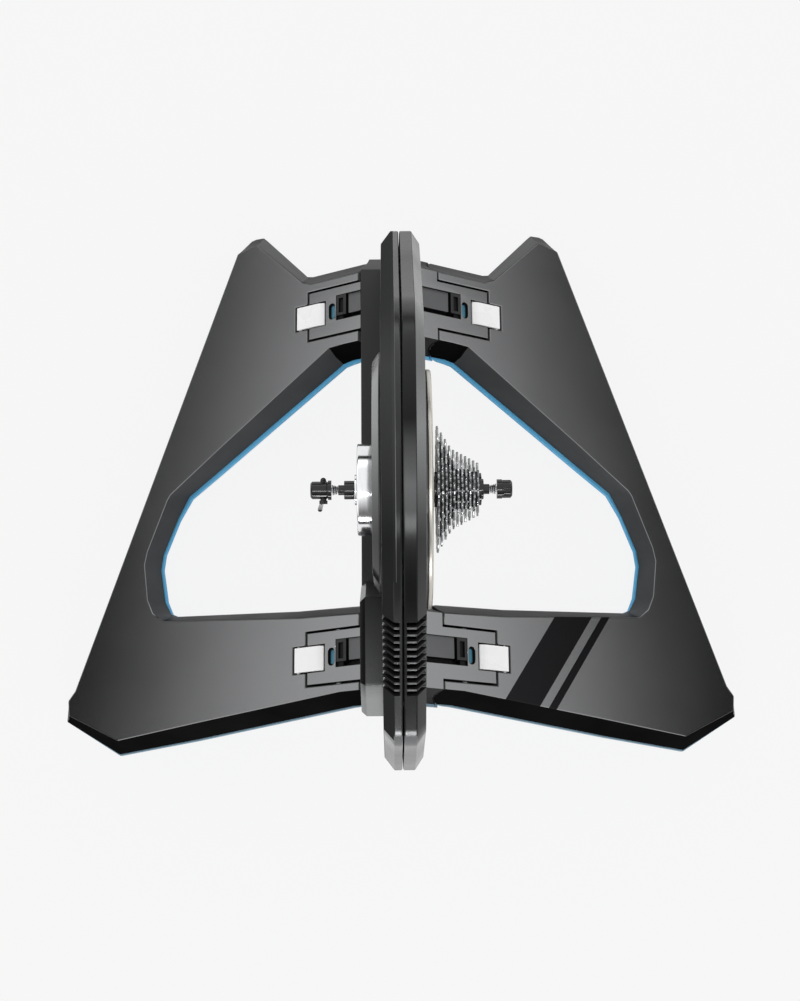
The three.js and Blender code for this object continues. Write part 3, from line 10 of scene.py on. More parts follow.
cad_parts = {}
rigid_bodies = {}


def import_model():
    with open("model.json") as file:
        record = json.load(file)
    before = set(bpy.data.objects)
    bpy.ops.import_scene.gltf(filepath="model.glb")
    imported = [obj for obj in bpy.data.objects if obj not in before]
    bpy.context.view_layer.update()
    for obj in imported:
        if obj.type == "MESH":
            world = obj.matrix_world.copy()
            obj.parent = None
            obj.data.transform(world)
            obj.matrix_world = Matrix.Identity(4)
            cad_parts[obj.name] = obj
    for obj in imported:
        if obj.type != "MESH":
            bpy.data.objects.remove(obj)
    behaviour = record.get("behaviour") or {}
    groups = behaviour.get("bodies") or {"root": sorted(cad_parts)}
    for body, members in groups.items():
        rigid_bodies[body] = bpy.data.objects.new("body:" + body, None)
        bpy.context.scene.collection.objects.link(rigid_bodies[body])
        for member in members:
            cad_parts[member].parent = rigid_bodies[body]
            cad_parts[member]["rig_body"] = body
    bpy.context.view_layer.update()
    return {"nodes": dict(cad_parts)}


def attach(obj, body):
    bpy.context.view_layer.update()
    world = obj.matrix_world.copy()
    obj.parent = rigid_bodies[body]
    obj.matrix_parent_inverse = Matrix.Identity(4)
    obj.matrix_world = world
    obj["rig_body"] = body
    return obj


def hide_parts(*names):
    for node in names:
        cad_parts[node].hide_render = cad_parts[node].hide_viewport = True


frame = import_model()
MM = 0.001

# Place of the wings, as the CAD has them
TILT = math.atan(0.28)
DROOP = math.atan(0.62 * math.cos(TILT))
PIN_SPAN = 0.062
PIN_HEIGHT = 0.174665
PIN_DEPTH = 0.010
HINGE_RUNS = {"front": 0.19675, "rear": -0.1743}
AXLE_HEIGHT = 0.345
SIDES = {"right": 1, "left": -1}


def wing_axes(side):
    """Outward, forward and upward directions of a wing, and the middle of its hinge line."""
    mirror = SIDES[side]
    outward = Vector((
        mirror * math.cos(DROOP),
        -math.sin(DROOP) * math.sin(TILT),
        -math.sin(DROOP) * math.cos(TILT),
    ))
    forward = Vector((0, math.cos(TILT), -math.sin(TILT)))
    upward = Vector((
        mirror * math.sin(DROOP),
        math.cos(DROOP) * math.sin(TILT),
        math.cos(DROOP) * math.cos(TILT),
    ))
    return outward, forward, upward, Vector((mirror * PIN_SPAN, 0, PIN_HEIGHT))


def on_wing(side, u, v, w):
    outward, forward, upward, origin = wing_axes(side)
    return origin + outward * u + forward * v + upward * w


# Materials


class Nodes:
    """A node tree with helpers that make its nodes and link them."""

    def __init__(self, tree):
        self.tree = tree

    def node(self, kind, **settings):
        made = self.tree.nodes.new(kind)
        for key, value in settings.items():
            setattr(made, key, value)
        return made

    def link(self, source, target):
        self.tree.links.new(source, target)

    def spread(self, value, low, high, start=0.3, end=0.7):
        """A value that runs from start to end, spread from low to high."""
        made = self.node("ShaderNodeMapRange")
        made.inputs["From Min"].default_value = start
        made.inputs["From Max"].default_value = end
        made.inputs["To Min"].default_value = low
        made.inputs["To Max"].default_value = high
        self.link(value, made.inputs["Value"])
        return made.outputs["Result"]

    def math(self, operation, *values):
        """Each value is a number or a socket."""
        made = self.node("ShaderNodeMath", operation=operation)
        for socket, value in zip(made.inputs, values):
            if isinstance(value, (int, float)):
                socket.default_value = value
            else:
                self.link(value, socket)
        return made.outputs["Value"]

    def mix(self, share, first, second, blend_type="MIX"):
        """Two colours mixed by a share. A colour is a tuple or a socket, a share a number or one."""
        made = self.node("ShaderNodeMix", data_type="RGBA", blend_type=blend_type)
        # The node keeps its sockets for colours behind those for numbers and vectors
        sockets = (made.inputs[0], made.inputs[6], made.inputs[7])
        for socket, value in zip(sockets, (share, first, second)):
            if isinstance(value, tuple):
                socket.default_value = (*value, 1)
            elif isinstance(value, (int, float)):
                socket.default_value = value
            else:
                self.link(value, socket)
        return made.outputs[2]

    def blend(self, share, first, second):
        """A socket's number mixed with a plain number by a share."""
        made = self.node("ShaderNodeMix", data_type="FLOAT")
        self.link(share, made.inputs[0])
        self.link(first, made.inputs[2])
        made.inputs[3].default_value = second
        return made.outputs[0]

    def ramp(self, share, stops):
        """A colour ramp through stops, each a place from 0 to 1 and a colour, in rising order."""
        made = self.node("ShaderNodeValToRGB")
        while len(made.color_ramp.elements) < len(stops):
            made.color_ramp.elements.new(0.5)
        for element, (place, color) in zip(made.color_ramp.elements, stops):
            element.position = place
            element.color = (*color, 1)
        self.link(share, made.inputs[0])
        return made.outputs[0]

    def plain(self, kind, color):
        """A shader node of one colour, for the stage and the world."""
        made = self.node(kind)
        made.inputs["Color"].default_value = (*color, 1)
        return made.outputs[0]

    def output(self, kind, share, first, second):
        """The tree's output, which mixes two shaders."""
        mix = self.node("ShaderNodeMixShader")
        for socket, source in zip(mix.inputs, (share, first, second)):
            self.link(source, socket)
        self.link(mix.outputs[0], self.node(kind).inputs[0])


class Finish(Nodes):
    """A Principled material with helpers for its procedural detail."""

    def __init__(self, name, metallic=0.0, specular=0.5):
        self.material = bpy.data.materials.new(name)
        self.material.use_nodes = True
        super().__init__(self.material.node_tree)
        self.shader = self.tree.nodes["Principled BSDF"]
        self.shader.inputs["Metallic"].default_value = metallic
        self.shader.inputs["Specular IOR Level"].default_value = specular
        self.place = self.node("ShaderNodeTexCoord").outputs["Object"]

    def noise(self, scale, detail=3.0, stretch=(1, 1, 1)):
        mapping = self.node("ShaderNodeMapping")
        mapping.inputs["Scale"].default_value = stretch
        self.link(self.place, mapping.inputs["Vector"])
        made = self.node("ShaderNodeTexNoise")
        made.inputs["Scale"].default_value = scale
        made.inputs["Detail"].default_value = detail
        self.link(mapping.outputs["Vector"], made.inputs["Vector"])
        return made.outputs["Fac"]

    def along(self, direction, origin):
        """Distance in metres from a point along a direction."""
        made = self.node("ShaderNodeVectorMath", operation="DOT_PRODUCT")
        made.inputs[1].default_value = direction
        self.link(self.place, made.inputs[0])
        return self.math("SUBTRACT", made.outputs["Value"], direction.dot(origin))

    def forward_run(self):
        """Distance in metres before the axle."""
        return self.along(Vector((0, 1, 0)), Vector((0, 0, 0)))

    def color(self, value):
        self.link(value, self.shader.inputs["Base Color"])

    def roughness(self, value):
        self.link(value, self.shader.inputs["Roughness"])

    def bump(self, value, strength, distance=0.0002):
        made = self.node("ShaderNodeBump")
        made.inputs["Strength"].default_value = strength
        made.inputs["Distance"].default_value = distance
        self.link(value, made.inputs["Height"])
        self.link(made.outputs["Normal"], self.shader.inputs["Normal"])


CLOUD_SCALE = 14.0
GRAIN_SCALE = 1800.0
GRAIN_DETAIL = 2.0


def grained(name, dark, light, rough, grain=GRAIN_SCALE, cloud=CLOUD_SCALE, strength=0.12,
            **settings):
    """A moulded or coated surface: soft clouds of colour and gloss, and a fine grain."""
    made = Finish(name, **settings)
    clouds = made.noise(cloud)
    grains = made.noise(grain, GRAIN_DETAIL)
    made.color(made.mix(made.spread(clouds, 0.0, 1.0), dark, light))
    made.roughness(made.spread(clouds, *rough))
    made.bump(grains, strength)
    return made.material


def turned_metal(name, dark, light, rough, rings=900.0, strength=0.1, metallic=1.0, **settings):
    """Metal turned on a lathe about the axle, with fine rings and a few brighter bands."""
    made = Finish(name, metallic=metallic, **settings)
    mapping = made.node("ShaderNodeMapping")
    mapping.inputs["Location"].default_value = (0, 0, -AXLE_HEIGHT)
    made.link(made.place, mapping.inputs["Vector"])
    wave = made.node("ShaderNodeTexWave", wave_type="RINGS", rings_direction="X")
    wave.inputs["Scale"].default_value = rings
    wave.inputs["Distortion"].default_value = 1.5
    wave.inputs["Detail"].default_value = 2.0
    made.link(mapping.outputs["Vector"], wave.inputs["Vector"])
    streaks = made.noise(60.0, stretch=(9, 1, 1))
    made.color(made.mix(made.spread(streaks, 0.0, 1.0), dark, light))
    made.roughness(made.spread(streaks, *rough))
    made.bump(wave.outputs["Fac"], strength, 0.0001)
    return made.material


# Distances before the axle between which the shells' tones of painted light run
SHELL_REAR, SHELL_FRONT = -0.28, 0.26
SHELL_TINT = (0.98, 1.0, 1.01)
SHELL_SHADE = (0.94, 0.94, 0.94)
SHELL_ROUGHNESS = (0.22, 0.3)


def painted_light_shell(name, stops, metallic=0.9, specular=0.5):
    """Satin black shell with painted light. Stops: distances before the axle with tones, rear to
    front.
    """
    made = Finish(name, metallic=metallic, specular=specular)
    share = made.spread(made.forward_run(), 0.0, 1.0, SHELL_REAR, SHELL_FRONT)
    # Painted light: the ramp lays highlights, reflections and shade into the base colour
    tones = made.ramp(share, [
        ((run - SHELL_REAR) / (SHELL_FRONT - SHELL_REAR), [tone * tint for tint in SHELL_TINT])
        for run, tone in stops
    ])
    clouds = made.noise(CLOUD_SCALE)
    shade = made.mix(made.spread(clouds, 0.0, 1.0), SHELL_SHADE, (1.0, 1.0, 1.0))
    made.color(made.mix(1.0, tones, shade, "MULTIPLY"))
    made.roughness(made.spread(clouds, *SHELL_ROUGHNESS))
    made.bump(made.noise(GRAIN_SCALE, GRAIN_DETAIL), 0.1)
    return made.material


# Black stripes on the right wing: how they slant, what they lie behind and the edges of each
STRIPE_SLANT = 0.71
STRIPE_FRONT = -0.112
STRIPES = ((0.1965, 0.242), (0.2535, 0.264))
STRIPE_COLOR = (0.013, 0.013, 0.014)
STRIPE_ROUGHNESS = 0.16
# Top faces of the wings
TOP_CLOUD_SCALE = 9.0
TOP_GRAIN_SCALE = 2600.0
TOP_DARK, TOP_LIGHT = (0.172, 0.174, 0.177), (0.187, 0.189, 0.192)
TOP_ROUGHNESS = (0.1, 0.12)


def wing_top_finish(side):
    """Satin grey-black face of a wing. The right one carries two glossy black stripes."""
    made = Finish(f"wing_top_{side}", metallic=0.985)
    clouds = made.noise(TOP_CLOUD_SCALE)
    grains = made.noise(TOP_GRAIN_SCALE, GRAIN_DETAIL)
    base = made.mix(made.spread(clouds, 0.0, 1.0), TOP_DARK, TOP_LIGHT)
    rough = made.spread(clouds, *TOP_ROUGHNESS)
    if side == "right":
        outward, forward, _, origin = wing_axes(side)
        across = made.along(outward - forward * STRIPE_SLANT, origin)
        behind = made.math("LESS_THAN", made.along(forward, origin), STRIPE_FRONT)
        bands = []
        for low, high in STRIPES:
            after = made.math("GREATER_THAN", across, low)
            before = made.math("LESS_THAN", across, high)
            bands.append(made.math("MULTIPLY", after, before))
        stripe = made.math("MULTIPLY", made.math("ADD", *bands), behind)
        base = made.mix(stripe, base, STRIPE_COLOR)
        rough = made.blend(stripe, rough, STRIPE_ROUGHNESS)
    made.color(base)
    made.roughness(rough)
    made.bump(grains, 0.06)
    return made.material


BLUE_DARK, BLUE_LIGHT = (0.13, 0.5, 0.84), (0.17, 0.56, 0.9)
BLUE_ROUGHNESS = (0.35, 0.45)
# Distances before the axle behind and beyond which the blue layer's rim is dull and dark
DULL_REAR, DULL_COLOR = -0.185, (0.17, 0.27, 0.34)
DARK_FRONT, DARK_COLOR = 0.205, (0.03, 0.031, 0.033)


def underplate_finish():
    """Rim and upper face of the blue layer under a wing: dull behind, dark at the front ears."""
    made = Finish("underplate", specular=0.3)
    clouds = made.noise(CLOUD_SCALE)
    run = made.forward_run()
    blue = made.mix(made.spread(clouds, 0.0, 1.0), BLUE_DARK, BLUE_LIGHT)
    dull = made.mix(made.math("LESS_THAN", run, DULL_REAR), blue, DULL_COLOR)
    made.color(made.mix(made.math("GREATER_THAN", run, DARK_FRONT), dull, DARK_COLOR))
    made.roughness(made.spread(clouds, *BLUE_ROUGHNESS))
    made.bump(made.noise(GRAIN_SCALE, GRAIN_DETAIL), 0.12)
    return made.material


# Each finish: its darkest and lightest colour, its roughness from cloud to cloud, and settings
GRAINED = {
    # One wall paint in three tones: lighter on inward-facing walls as painted light, darker on
    # rear-facing walls as painted shade
    "wing_wall": ((0.013, 0.013, 0.014), (0.021, 0.021, 0.022), (0.4, 0.5), {"specular": 0.05}),
    "wing_wall_painted_light": (
        (0.066, 0.067, 0.069), (0.092, 0.094, 0.096), (0.4, 0.5), {"specular": 0.05},
    ),
    "wing_wall_painted_shade": ((0.004, 0.004, 0.004), (0.007, 0.007, 0.007), (0.4, 0.5), {"specular": 0.0}),
    "shell": ((0.018, 0.019, 0.021), (0.028, 0.029, 0.031), (0.26, 0.34), {}),
    "frame": ((0.014, 0.0145, 0.015), (0.022, 0.0225, 0.023), (0.3, 0.4), {"specular": 0.35}),
    # A lighter copy of the shell for the painted highlight along the left ridge
    "ridge_painted_highlight": ((0.09, 0.092, 0.095), (0.12, 0.122, 0.125), (0.3, 0.4), {"metallic": 0.8}),
    # Lighter rib tops: a painted highlight
    "rib_painted_highlight": ((0.075, 0.076, 0.078), (0.1, 0.102, 0.104), (0.25, 0.35), {"metallic": 0.9}),
    "bar": ((0.11, 0.112, 0.115), (0.16, 0.162, 0.165), (0.35, 0.5), {"metallic": 0.7}),
    # Near black for painted shade in recesses, slot walls and a crease
    "recess_painted_shade": ((0.004, 0.004, 0.004), (0.008, 0.008, 0.008), (0.5, 0.7), {"specular": 0.2}),
    "blue": (BLUE_DARK, BLUE_LIGHT, BLUE_ROUGHNESS, {}),
    "blue_mark": ((0.035, 0.16, 0.23), (0.055, 0.21, 0.3), (0.3, 0.4), {}),
    "white": ((0.86, 0.86, 0.86), (0.9, 0.9, 0.9), (0.25, 0.32), {"strength": 0.05}),
    "rubber": (
        (0.008, 0.008, 0.008), (0.016, 0.016, 0.016), (0.7, 0.9), {"grain": 900.0, "strength": 0.3},
    ),
    "sprocket": (
        (0.24, 0.245, 0.25), (0.42, 0.425, 0.43), (0.16, 0.28), {"metallic": 1.0, "cloud": 120.0},
    ),
    "spacer": ((0.003, 0.003, 0.003), (0.006, 0.006, 0.006), (0.1, 0.14), {"strength": 0.02}),
    "dark_plastic": ((0.006, 0.006, 0.006), (0.01, 0.01, 0.01), (0.3, 0.45), {}),
    "board": ((0.01, 0.07, 0.03), (0.02, 0.11, 0.05), (0.3, 0.45), {"cloud": 300.0}),
}
TURNED = {
    "silver": ((0.84, 0.85, 0.86), (0.92, 0.93, 0.94), (0.1, 0.14), {"strength": 0.04}),
    "ivory": ((0.63, 0.61, 0.545), (0.7, 0.68, 0.62), (0.3, 0.4), {}),
    "steel": ((0.32, 0.33, 0.34), (0.44, 0.45, 0.46), (0.25, 0.38), {}),
    "dark_metal": (
        (0.005, 0.005, 0.005), (0.009, 0.009, 0.009), (0.07, 0.09),
        {"strength": 0.008, "metallic": 0.0},
    ),
    "iron": ((0.12, 0.12, 0.12), (0.2, 0.2, 0.2), (0.4, 0.55), {}),
    "copper": (
        (0.45, 0.17, 0.07), (0.6, 0.26, 0.12), (0.3, 0.4), {"rings": 500.0, "strength": 0.5},
    ),
}
# Faces of the housing, motor plate and cover: distances before the axle with their tones, settings
# The tones are painted light: highlights, reflections of the lamps and shade laid into the colour
PAINTED_LIGHT_SHELLS = {
    "chamfer_right": (
        ((-0.205, 0.012), (-0.042, 0.026), (0.007, 0.15), (0.05, 0.26),
         (0.1, 0.17), (0.15, 0.18), (0.2, 0.06)), {},
    ),
    # The left chamfer stays dark: painted shade of faces turned from the light
    "chamfer_left": (
        ((-0.205, 0.024), (-0.042, 0.018), (0.007, 0.034), (0.1, 0.055), (0.15, 0.04)),
        {"metallic": 0.0, "specular": 0.0},
    ),
    # Each crown's first tone is a painted highlight on the crest before the rear end
    "crown_right": (
        ((-0.218, 0.2), (-0.209, 0.02), (-0.04, 0.018), (0.003, 0.1),
         (0.057, 0.014), (0.13, 0.035), (0.152, 0.08), (0.2, 0.005)), {},
    ),
    "crown_left": (
        ((-0.218, 0.2), (-0.209, 0.045), (-0.1, 0.05), (-0.042, 0.012),
         (0.057, 0.038), (0.11, 0.06), (0.152, 0.08), (0.2, 0.012)), {},
    ),
    # The rear end lightens towards its crease: painted light
    "tail": (((-0.236, 0.02), (-0.2215, 0.17)), {}),
    # The plate's bevel and the cover's faces carry painted reflections, brightest at the cover's
    # rear bend
    "plate_edge": (((-0.1, 0.05), (-0.042, 0.052), (0.007, 0.18), (0.057, 0.32), (0.158, 0.3)), {}),
    "cover_top": (((-0.2, 0.28), (-0.186, 0.2), (-0.182, 0.05), (-0.1, 0.018)), {}),
    "cover_edge": (((-0.2, 0.2), (-0.184, 0.02), (-0.1, 0.01)), {}),
}
FINISHES = {f"wing_top_{side}": wing_top_finish(side) for side in SIDES}
FINISHES["underplate"] = underplate_finish()
for maker, finishes in ((grained, GRAINED), (turned_metal, TURNED), (painted_light_shell, PAINTED_LIGHT_SHELLS)):
    for finish, (*values, settings) in finishes.items():
        FINISHES[finish] = maker(finish, *values, **settings)

# Mesh helpers


def soften(mesh, angle):
    """Smooth faces, with a hard line wherever two meet at more than an angle."""
    mesh.polygons.foreach_set("use_smooth", [True] * len(mesh.polygons))
    mesh.set_sharp_from_angle(angle=math.radians(angle))


def flatten_shading(piece):
    """Large faces stay flat and only the softened edges between them look round."""
    weighted = piece.modifiers.new("shading", "WEIGHTED_NORMAL")
    weighted.mode = "FACE_AREA"
    weighted.weight = 100
    weighted.keep_sharp = True


def place_piece(name, mesh, body, materials, angle=35):
    for material in materials:
        mesh.materials.append(FINISHES[material])
    soften(mesh, angle)
    piece = bpy.data.objects.new(name, mesh)
    bpy.context.scene.collection.objects.link(piece)
    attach(piece, body)
    return piece


def body_of(node):
    return frame["nodes"][node]["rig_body"]


def mesh_of(made, name):
    """The mesh of a finished bmesh."""
    mesh = bpy.data.meshes.new(name)
    made.to_mesh(mesh)
    made.free()
    return mesh


def curve_mesh(name, curve):
    """The mesh of a curve, which is used up."""
    holder = bpy.data.objects.new(name, curve)
    bpy.context.scene.collection.objects.link(holder)
    bpy.context.view_layer.update()
    graph = bpy.context.evaluated_depsgraph_get()
    mesh = bpy.data.meshes.new_from_object(holder.evaluated_get(graph))
    bpy.data.objects.remove(holder)
    bpy.data.curves.remove(curve)
    return mesh


MERGE_DISTANCE = 2e-5
FLAT_ANGLE = 0.4


def dress(node, materials, pick=None, width=0.0, segments=2, least=30, angle=35, splits=()):
    """Stands for a CAD node: its own shape with softened edges and a material by kind of face."""
    made = bmesh.new()
    made.from_mesh(frame["nodes"][node].data)
    bmesh.ops.remove_doubles(made, verts=made.verts, dist=MERGE_DISTANCE)
    bmesh.ops.dissolve_limit(made, angle_limit=math.radians(FLAT_ANGLE),
                             verts=made.verts, edges=made.edges)
    if width:
        hard = []
        for edge in made.edges:
            sharp = len(edge.link_faces) == 2 and edge.calc_face_angle(0) > math.radians(least)
            if sharp and edge.calc_length() > 2 * width:
                hard.append(edge)
        bmesh.ops.bevel(made, geom=hard, offset=width, offset_type="OFFSET", segments=segments,
                        profile=0.5, affect="EDGES", clamp_overlap=False)
        bmesh.ops.remove_doubles(made, verts=made.verts, dist=MERGE_DISTANCE / 4)
    for distance in splits:
        bmesh.ops.bisect_plane(made, geom=[*made.verts, *made.edges, *made.faces], dist=1e-7,
                               plane_co=(distance, 0, 0), plane_no=(1, 0, 0))
    made.normal_update()
    if pick:
        for face in made.faces:
            face.material_index = materials.index(pick(face.calc_center_median(), face.normal))
    mesh = mesh_of(made, f"{node}_finish")
    piece = place_piece(f"{node}_finish", mesh, body_of(node), materials, angle)
    flatten_shading(piece)
    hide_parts(node)


ROUND_SHARE = 0.45
STRAIGHT = 0.999


def rounded(points, radius, steps=4):
    """A closed outline with its corners rounded, each by at most a share of its shorter side."""
    made = []
    count = len(points)
    for i, point in enumerate(points):
        corner = Vector(point)
        before, after = Vector(points[i - 1]) - corner, Vector(points[(i + 1) % count]) - corner
        reach = min(radius, before.length * ROUND_SHARE, after.length * ROUND_SHARE)
        if abs(before.normalized().dot(after.normalized())) > STRAIGHT:
            made.append(tuple(corner))
            continue
        start, end = corner + before.normalized() * reach, corner + after.normalized() * reach
        for step in range(steps + 1):
            share = step / steps
            bend = start * (1 - share) ** 2 + corner * 2 * share * (1 - share) + end * share ** 2
            made.append(tuple(bend))
    return made


def in_metres(points):
    return [(x * MM, y * MM) for x, y in points]


def lathe_mesh(name, profile, steps=96):
    """A closed profile of (x, radius) points in metres, turned about the axle."""
    made = bmesh.new()
    rings = []
    for step in range(steps):
        turn = 2 * math.pi * step / steps
        rings.append([
            made.verts.new((x, radius * math.cos(turn), AXLE_HEIGHT + radius * math.sin(turn)))
            for x, radius in profile
        ])
    for here, there in zip(rings, [*rings[1:], rings[0]]):
        for i in range(len(profile)):
            made.faces.new((here[i - 1], here[i], there[i], there[i - 1]))
    bmesh.ops.remove_doubles(made, verts=made.verts, dist=1e-6)
    bmesh.ops.recalc_face_normals(made, faces=made.faces)
    return mesh_of(made, name)


def lathe(name, profile, body, slot, material, *nodes, radius=0.0004, steps=96):
    """A turned piece from a profile in millimetres. It stands for CAD nodes."""
    profile = rounded(in_metres(profile), radius)
    piece = place_piece(name, lathe_mesh(name, profile, steps), body, [material], angle=40)
    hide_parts(*nodes)


def plate_mesh(name, outlines, left, thickness, bevel=0.0002):
    """A flat plate across the axle with an outer outline and holes, its left face at a given X.

    All but the bevel is in millimetres.
    """
    left, thickness = left * MM, thickness * MM
    curve = bpy.data.curves.new(name, "CURVE")
    curve.dimensions = "2D"
    curve.fill_mode = "BOTH"
    curve.extrude = thickness / 2 - bevel
    curve.bevel_depth = bevel
    curve.bevel_resolution = 1
    curve.offset = -bevel
    for outline in outlines:
        spline = curve.splines.new("POLY")
        spline.points.add(len(outline) - 1)
        for point, (y, z) in zip(spline.points, in_metres(outline)):
            point.co = (y, z, 0, 1)
        spline.use_cyclic_u = True
    mesh = curve_mesh(name, curve)
    middle = left + thickness / 2
    mesh.transform(Matrix(((0, 0, 1, middle), (1, 0, 0, 0), (0, 1, 0, AXLE_HEIGHT), (0, 0, 0, 1))))
    mesh.name = name
    return mesh


def circle(radius, steps, start=0.0, end=2 * math.pi, closed=True):
    """Points on a circle or, if it isn't closed, on an arc with both of its ends."""
    turns = [start + (end - start) * i / steps for i in range(steps if closed else steps + 1)]
    return [(radius * math.cos(turn), radius * math.sin(turn)) for turn in turns]


def joined(name, meshes):
    """Several meshes as one."""
    made = bmesh.new()
    for mesh in meshes:
        made.from_mesh(mesh)
    return mesh_of(made, name)


# Wings, their arms and latches. A pick chooses a face's material from its middle and its normal.

# How far a normal has to follow the wing's upward, outward or forward direction
FACES_UP = 0.9
FACES_DOWN = -0.5
FACES_INWARD = -0.4
FACES_REAR = -0.45


def wing_pick(side):
    outward, forward, upward, _ = wing_axes(side)

    def pick(centre, normal):
        if normal.dot(upward) > FACES_UP:
            return f"wing_top_{side}"
        # Inward-facing walls get the lighter tone, painted light; rear-facing ones the darker,
        # painted shade
        if normal.dot(outward) < FACES_INWARD:
            return "wing_wall_painted_light"
        return "wing_wall_painted_shade" if normal.dot(forward) < FACES_REAR else "wing_wall"

    return pick


def underplate_pick(side):
    upward = wing_axes(side)[2]

    def pick(centre, normal):
        return "blue" if normal.dot(upward) < FACES_DOWN else "underplate"

    return pick


# Levels of an arm above its pin: its top, the lock bar's end box, the recesses, the lock bar and
# the blue layer under it
ARM_TOP = PIN_DEPTH - 0.0005
ARM_BOX = PIN_DEPTH - 0.0013
ARM_RECESS = PIN_DEPTH - 0.0007
ARM_BAR = 0.005
ARM_LAYER = -0.0246
# Distances outward from the pin: where the recesses begin, and where the bar and the layer end
RECESS_INNER = -0.03
BAR_OUTER = -0.014
LAYER_OUTER = -0.0045


def arm_pick(side):
    outward, _, upward, origin = wing_axes(side)

    def pick(centre, normal):
        height = (centre - origin).dot(upward)
        reach = (centre - origin).dot(outward)
        if height < ARM_LAYER and side == "right" and reach < LAYER_OUTER:
            return "underplate"
        if normal.dot(upward) > FACES_UP:
            if height > ARM_TOP:
                return f"wing_top_{side}"
            if height > ARM_BOX:
                return "frame"
            if reach < BAR_OUTER and height > ARM_BAR:
                return "bar"
            # Faces down in the channel and low walls in the recesses get painted shade
            return "recess_painted_shade"
        return "recess_painted_shade" if height < ARM_RECESS and reach > RECESS_INNER else "wing_wall"

    return pick


# Blue mark at the bottom of an arm's window: its middle, width and length, and the heights above
# the pin at which its outline is inset so much
MARK_CENTRE = 0.0042
MARK_WIDTH = 0.0052
MARK_LENGTH = 0.0154
MARK_TOP = PIN_DEPTH - 0.0034
MARK_LEVELS = (
    (PIN_DEPTH - 0.0040, 0),
    (MARK_TOP - 0.0003, 0),
    (MARK_TOP - 0.0001, 0.0002),
    (MARK_TOP, 0.0006),
)


def mark_mesh(side, run, steps=10):
    """A low block with round ends and a softened top, in the window of the arm at a given run."""
    outline = []
    straight = (MARK_LENGTH - MARK_WIDTH) / 2
    for start, shift in ((0, straight), (math.pi, -straight)):
        half = circle(MARK_WIDTH / 2, steps, start, start + math.pi, closed=False)
        outline += [(x, y + shift) for x, y in half]
    made = bmesh.new()
    rings = []
    for height, inset in MARK_LEVELS:
        across, along = 1 - inset / (MARK_WIDTH / 2), 1 - inset / (MARK_LENGTH / 2)
        rings.append([
            made.verts.new(on_wing(side, MARK_CENTRE + x * across, run + y * along, height))
            for x, y in outline
        ])
    for lower, upper in zip(rings, rings[1:]):
        for i in range(len(outline)):
            made.faces.new((lower[i - 1], lower[i], upper[i], upper[i - 1]))
    made.faces.new(rings[-1])
    made.faces.new(list(reversed(rings[0])))
    bmesh.ops.recalc_face_normals(made, faces=made.faces)
    return mesh_of(made, "latch_mark")


def dress_wings():
    for side in SIDES:
        top = f"wing_top_{side}"
        walls = ["wing_wall", "wing_wall_painted_light", "wing_wall_painted_shade"]
        dress(f"wing_{side}", [top, *walls], wing_pick(side), width=0.0012)
        layers = ["blue", "underplate"]
        dress(f"wing_underplate_{side}", layers, underplate_pick(side), width=0.0005)
        for end, run in HINGE_RUNS.items():
            kinds = [top, "wing_wall", "recess_painted_shade", "bar", "underplate", "frame"]
            dress(f"hinge_arm_{end}_{side}", kinds, arm_pick(side), width=0.0005)
            dress(f"latch_lever_{end}_{side}", ["white"], width=0.0005)
            mark = mark_mesh(side, run)
            place_piece(f"latch_mark_{end}_{side}", mark, "base", ["blue_mark"])
            dress(f"hinge_pin_{end}_{side}", ["steel"], width=0.0006, segments=1)
        for foot in ("tip", "corner"):
            dress(f"foot_{foot}_{side}", ["rubber"], width=0.0008)


# Parts of a normal: least upward part of a face seen from above, greatest forward part of one that
# looks back, and sideways parts from which a face is a chamfer, past the crease's painted shade, or
# a wall
SEEN = 0.1
LOOKS_BACK = -0.5
CHAMFER_TILT = 0.3
CREASE_SHADE_TILT = 0.75
WALL_TILT = 0.95
# Painted highlight, a light line between the left crown and its chamfer: its two edges in X, and its
# rear end
RIDGE_HIGHLIGHT = (-0.0057, -0.0052)
RIDGE_HIGHLIGHT_REAR = -0.083
# Cooling slots: their span, the height they lie above, and how far their walls face a direction
SLOTS = (-0.205, -0.075)
SLOT_LOW = 0.4
SLOT_SLOPE = Vector((0, 0.92, 0.38))
SLOT_WALL = 0.6
# Ribs between the slots with painted highlights on top: their inner end, and the span in which they
# are light
RIB_HIGHLIGHT_END = 0.0032
RIB_HIGHLIGHT_SPAN = (-0.176, -0.112)
# Rear end of the housing: where it begins, and the tilt that its faces stay under
TAIL_FRONT = -0.216
TAIL_TILT = 0.9


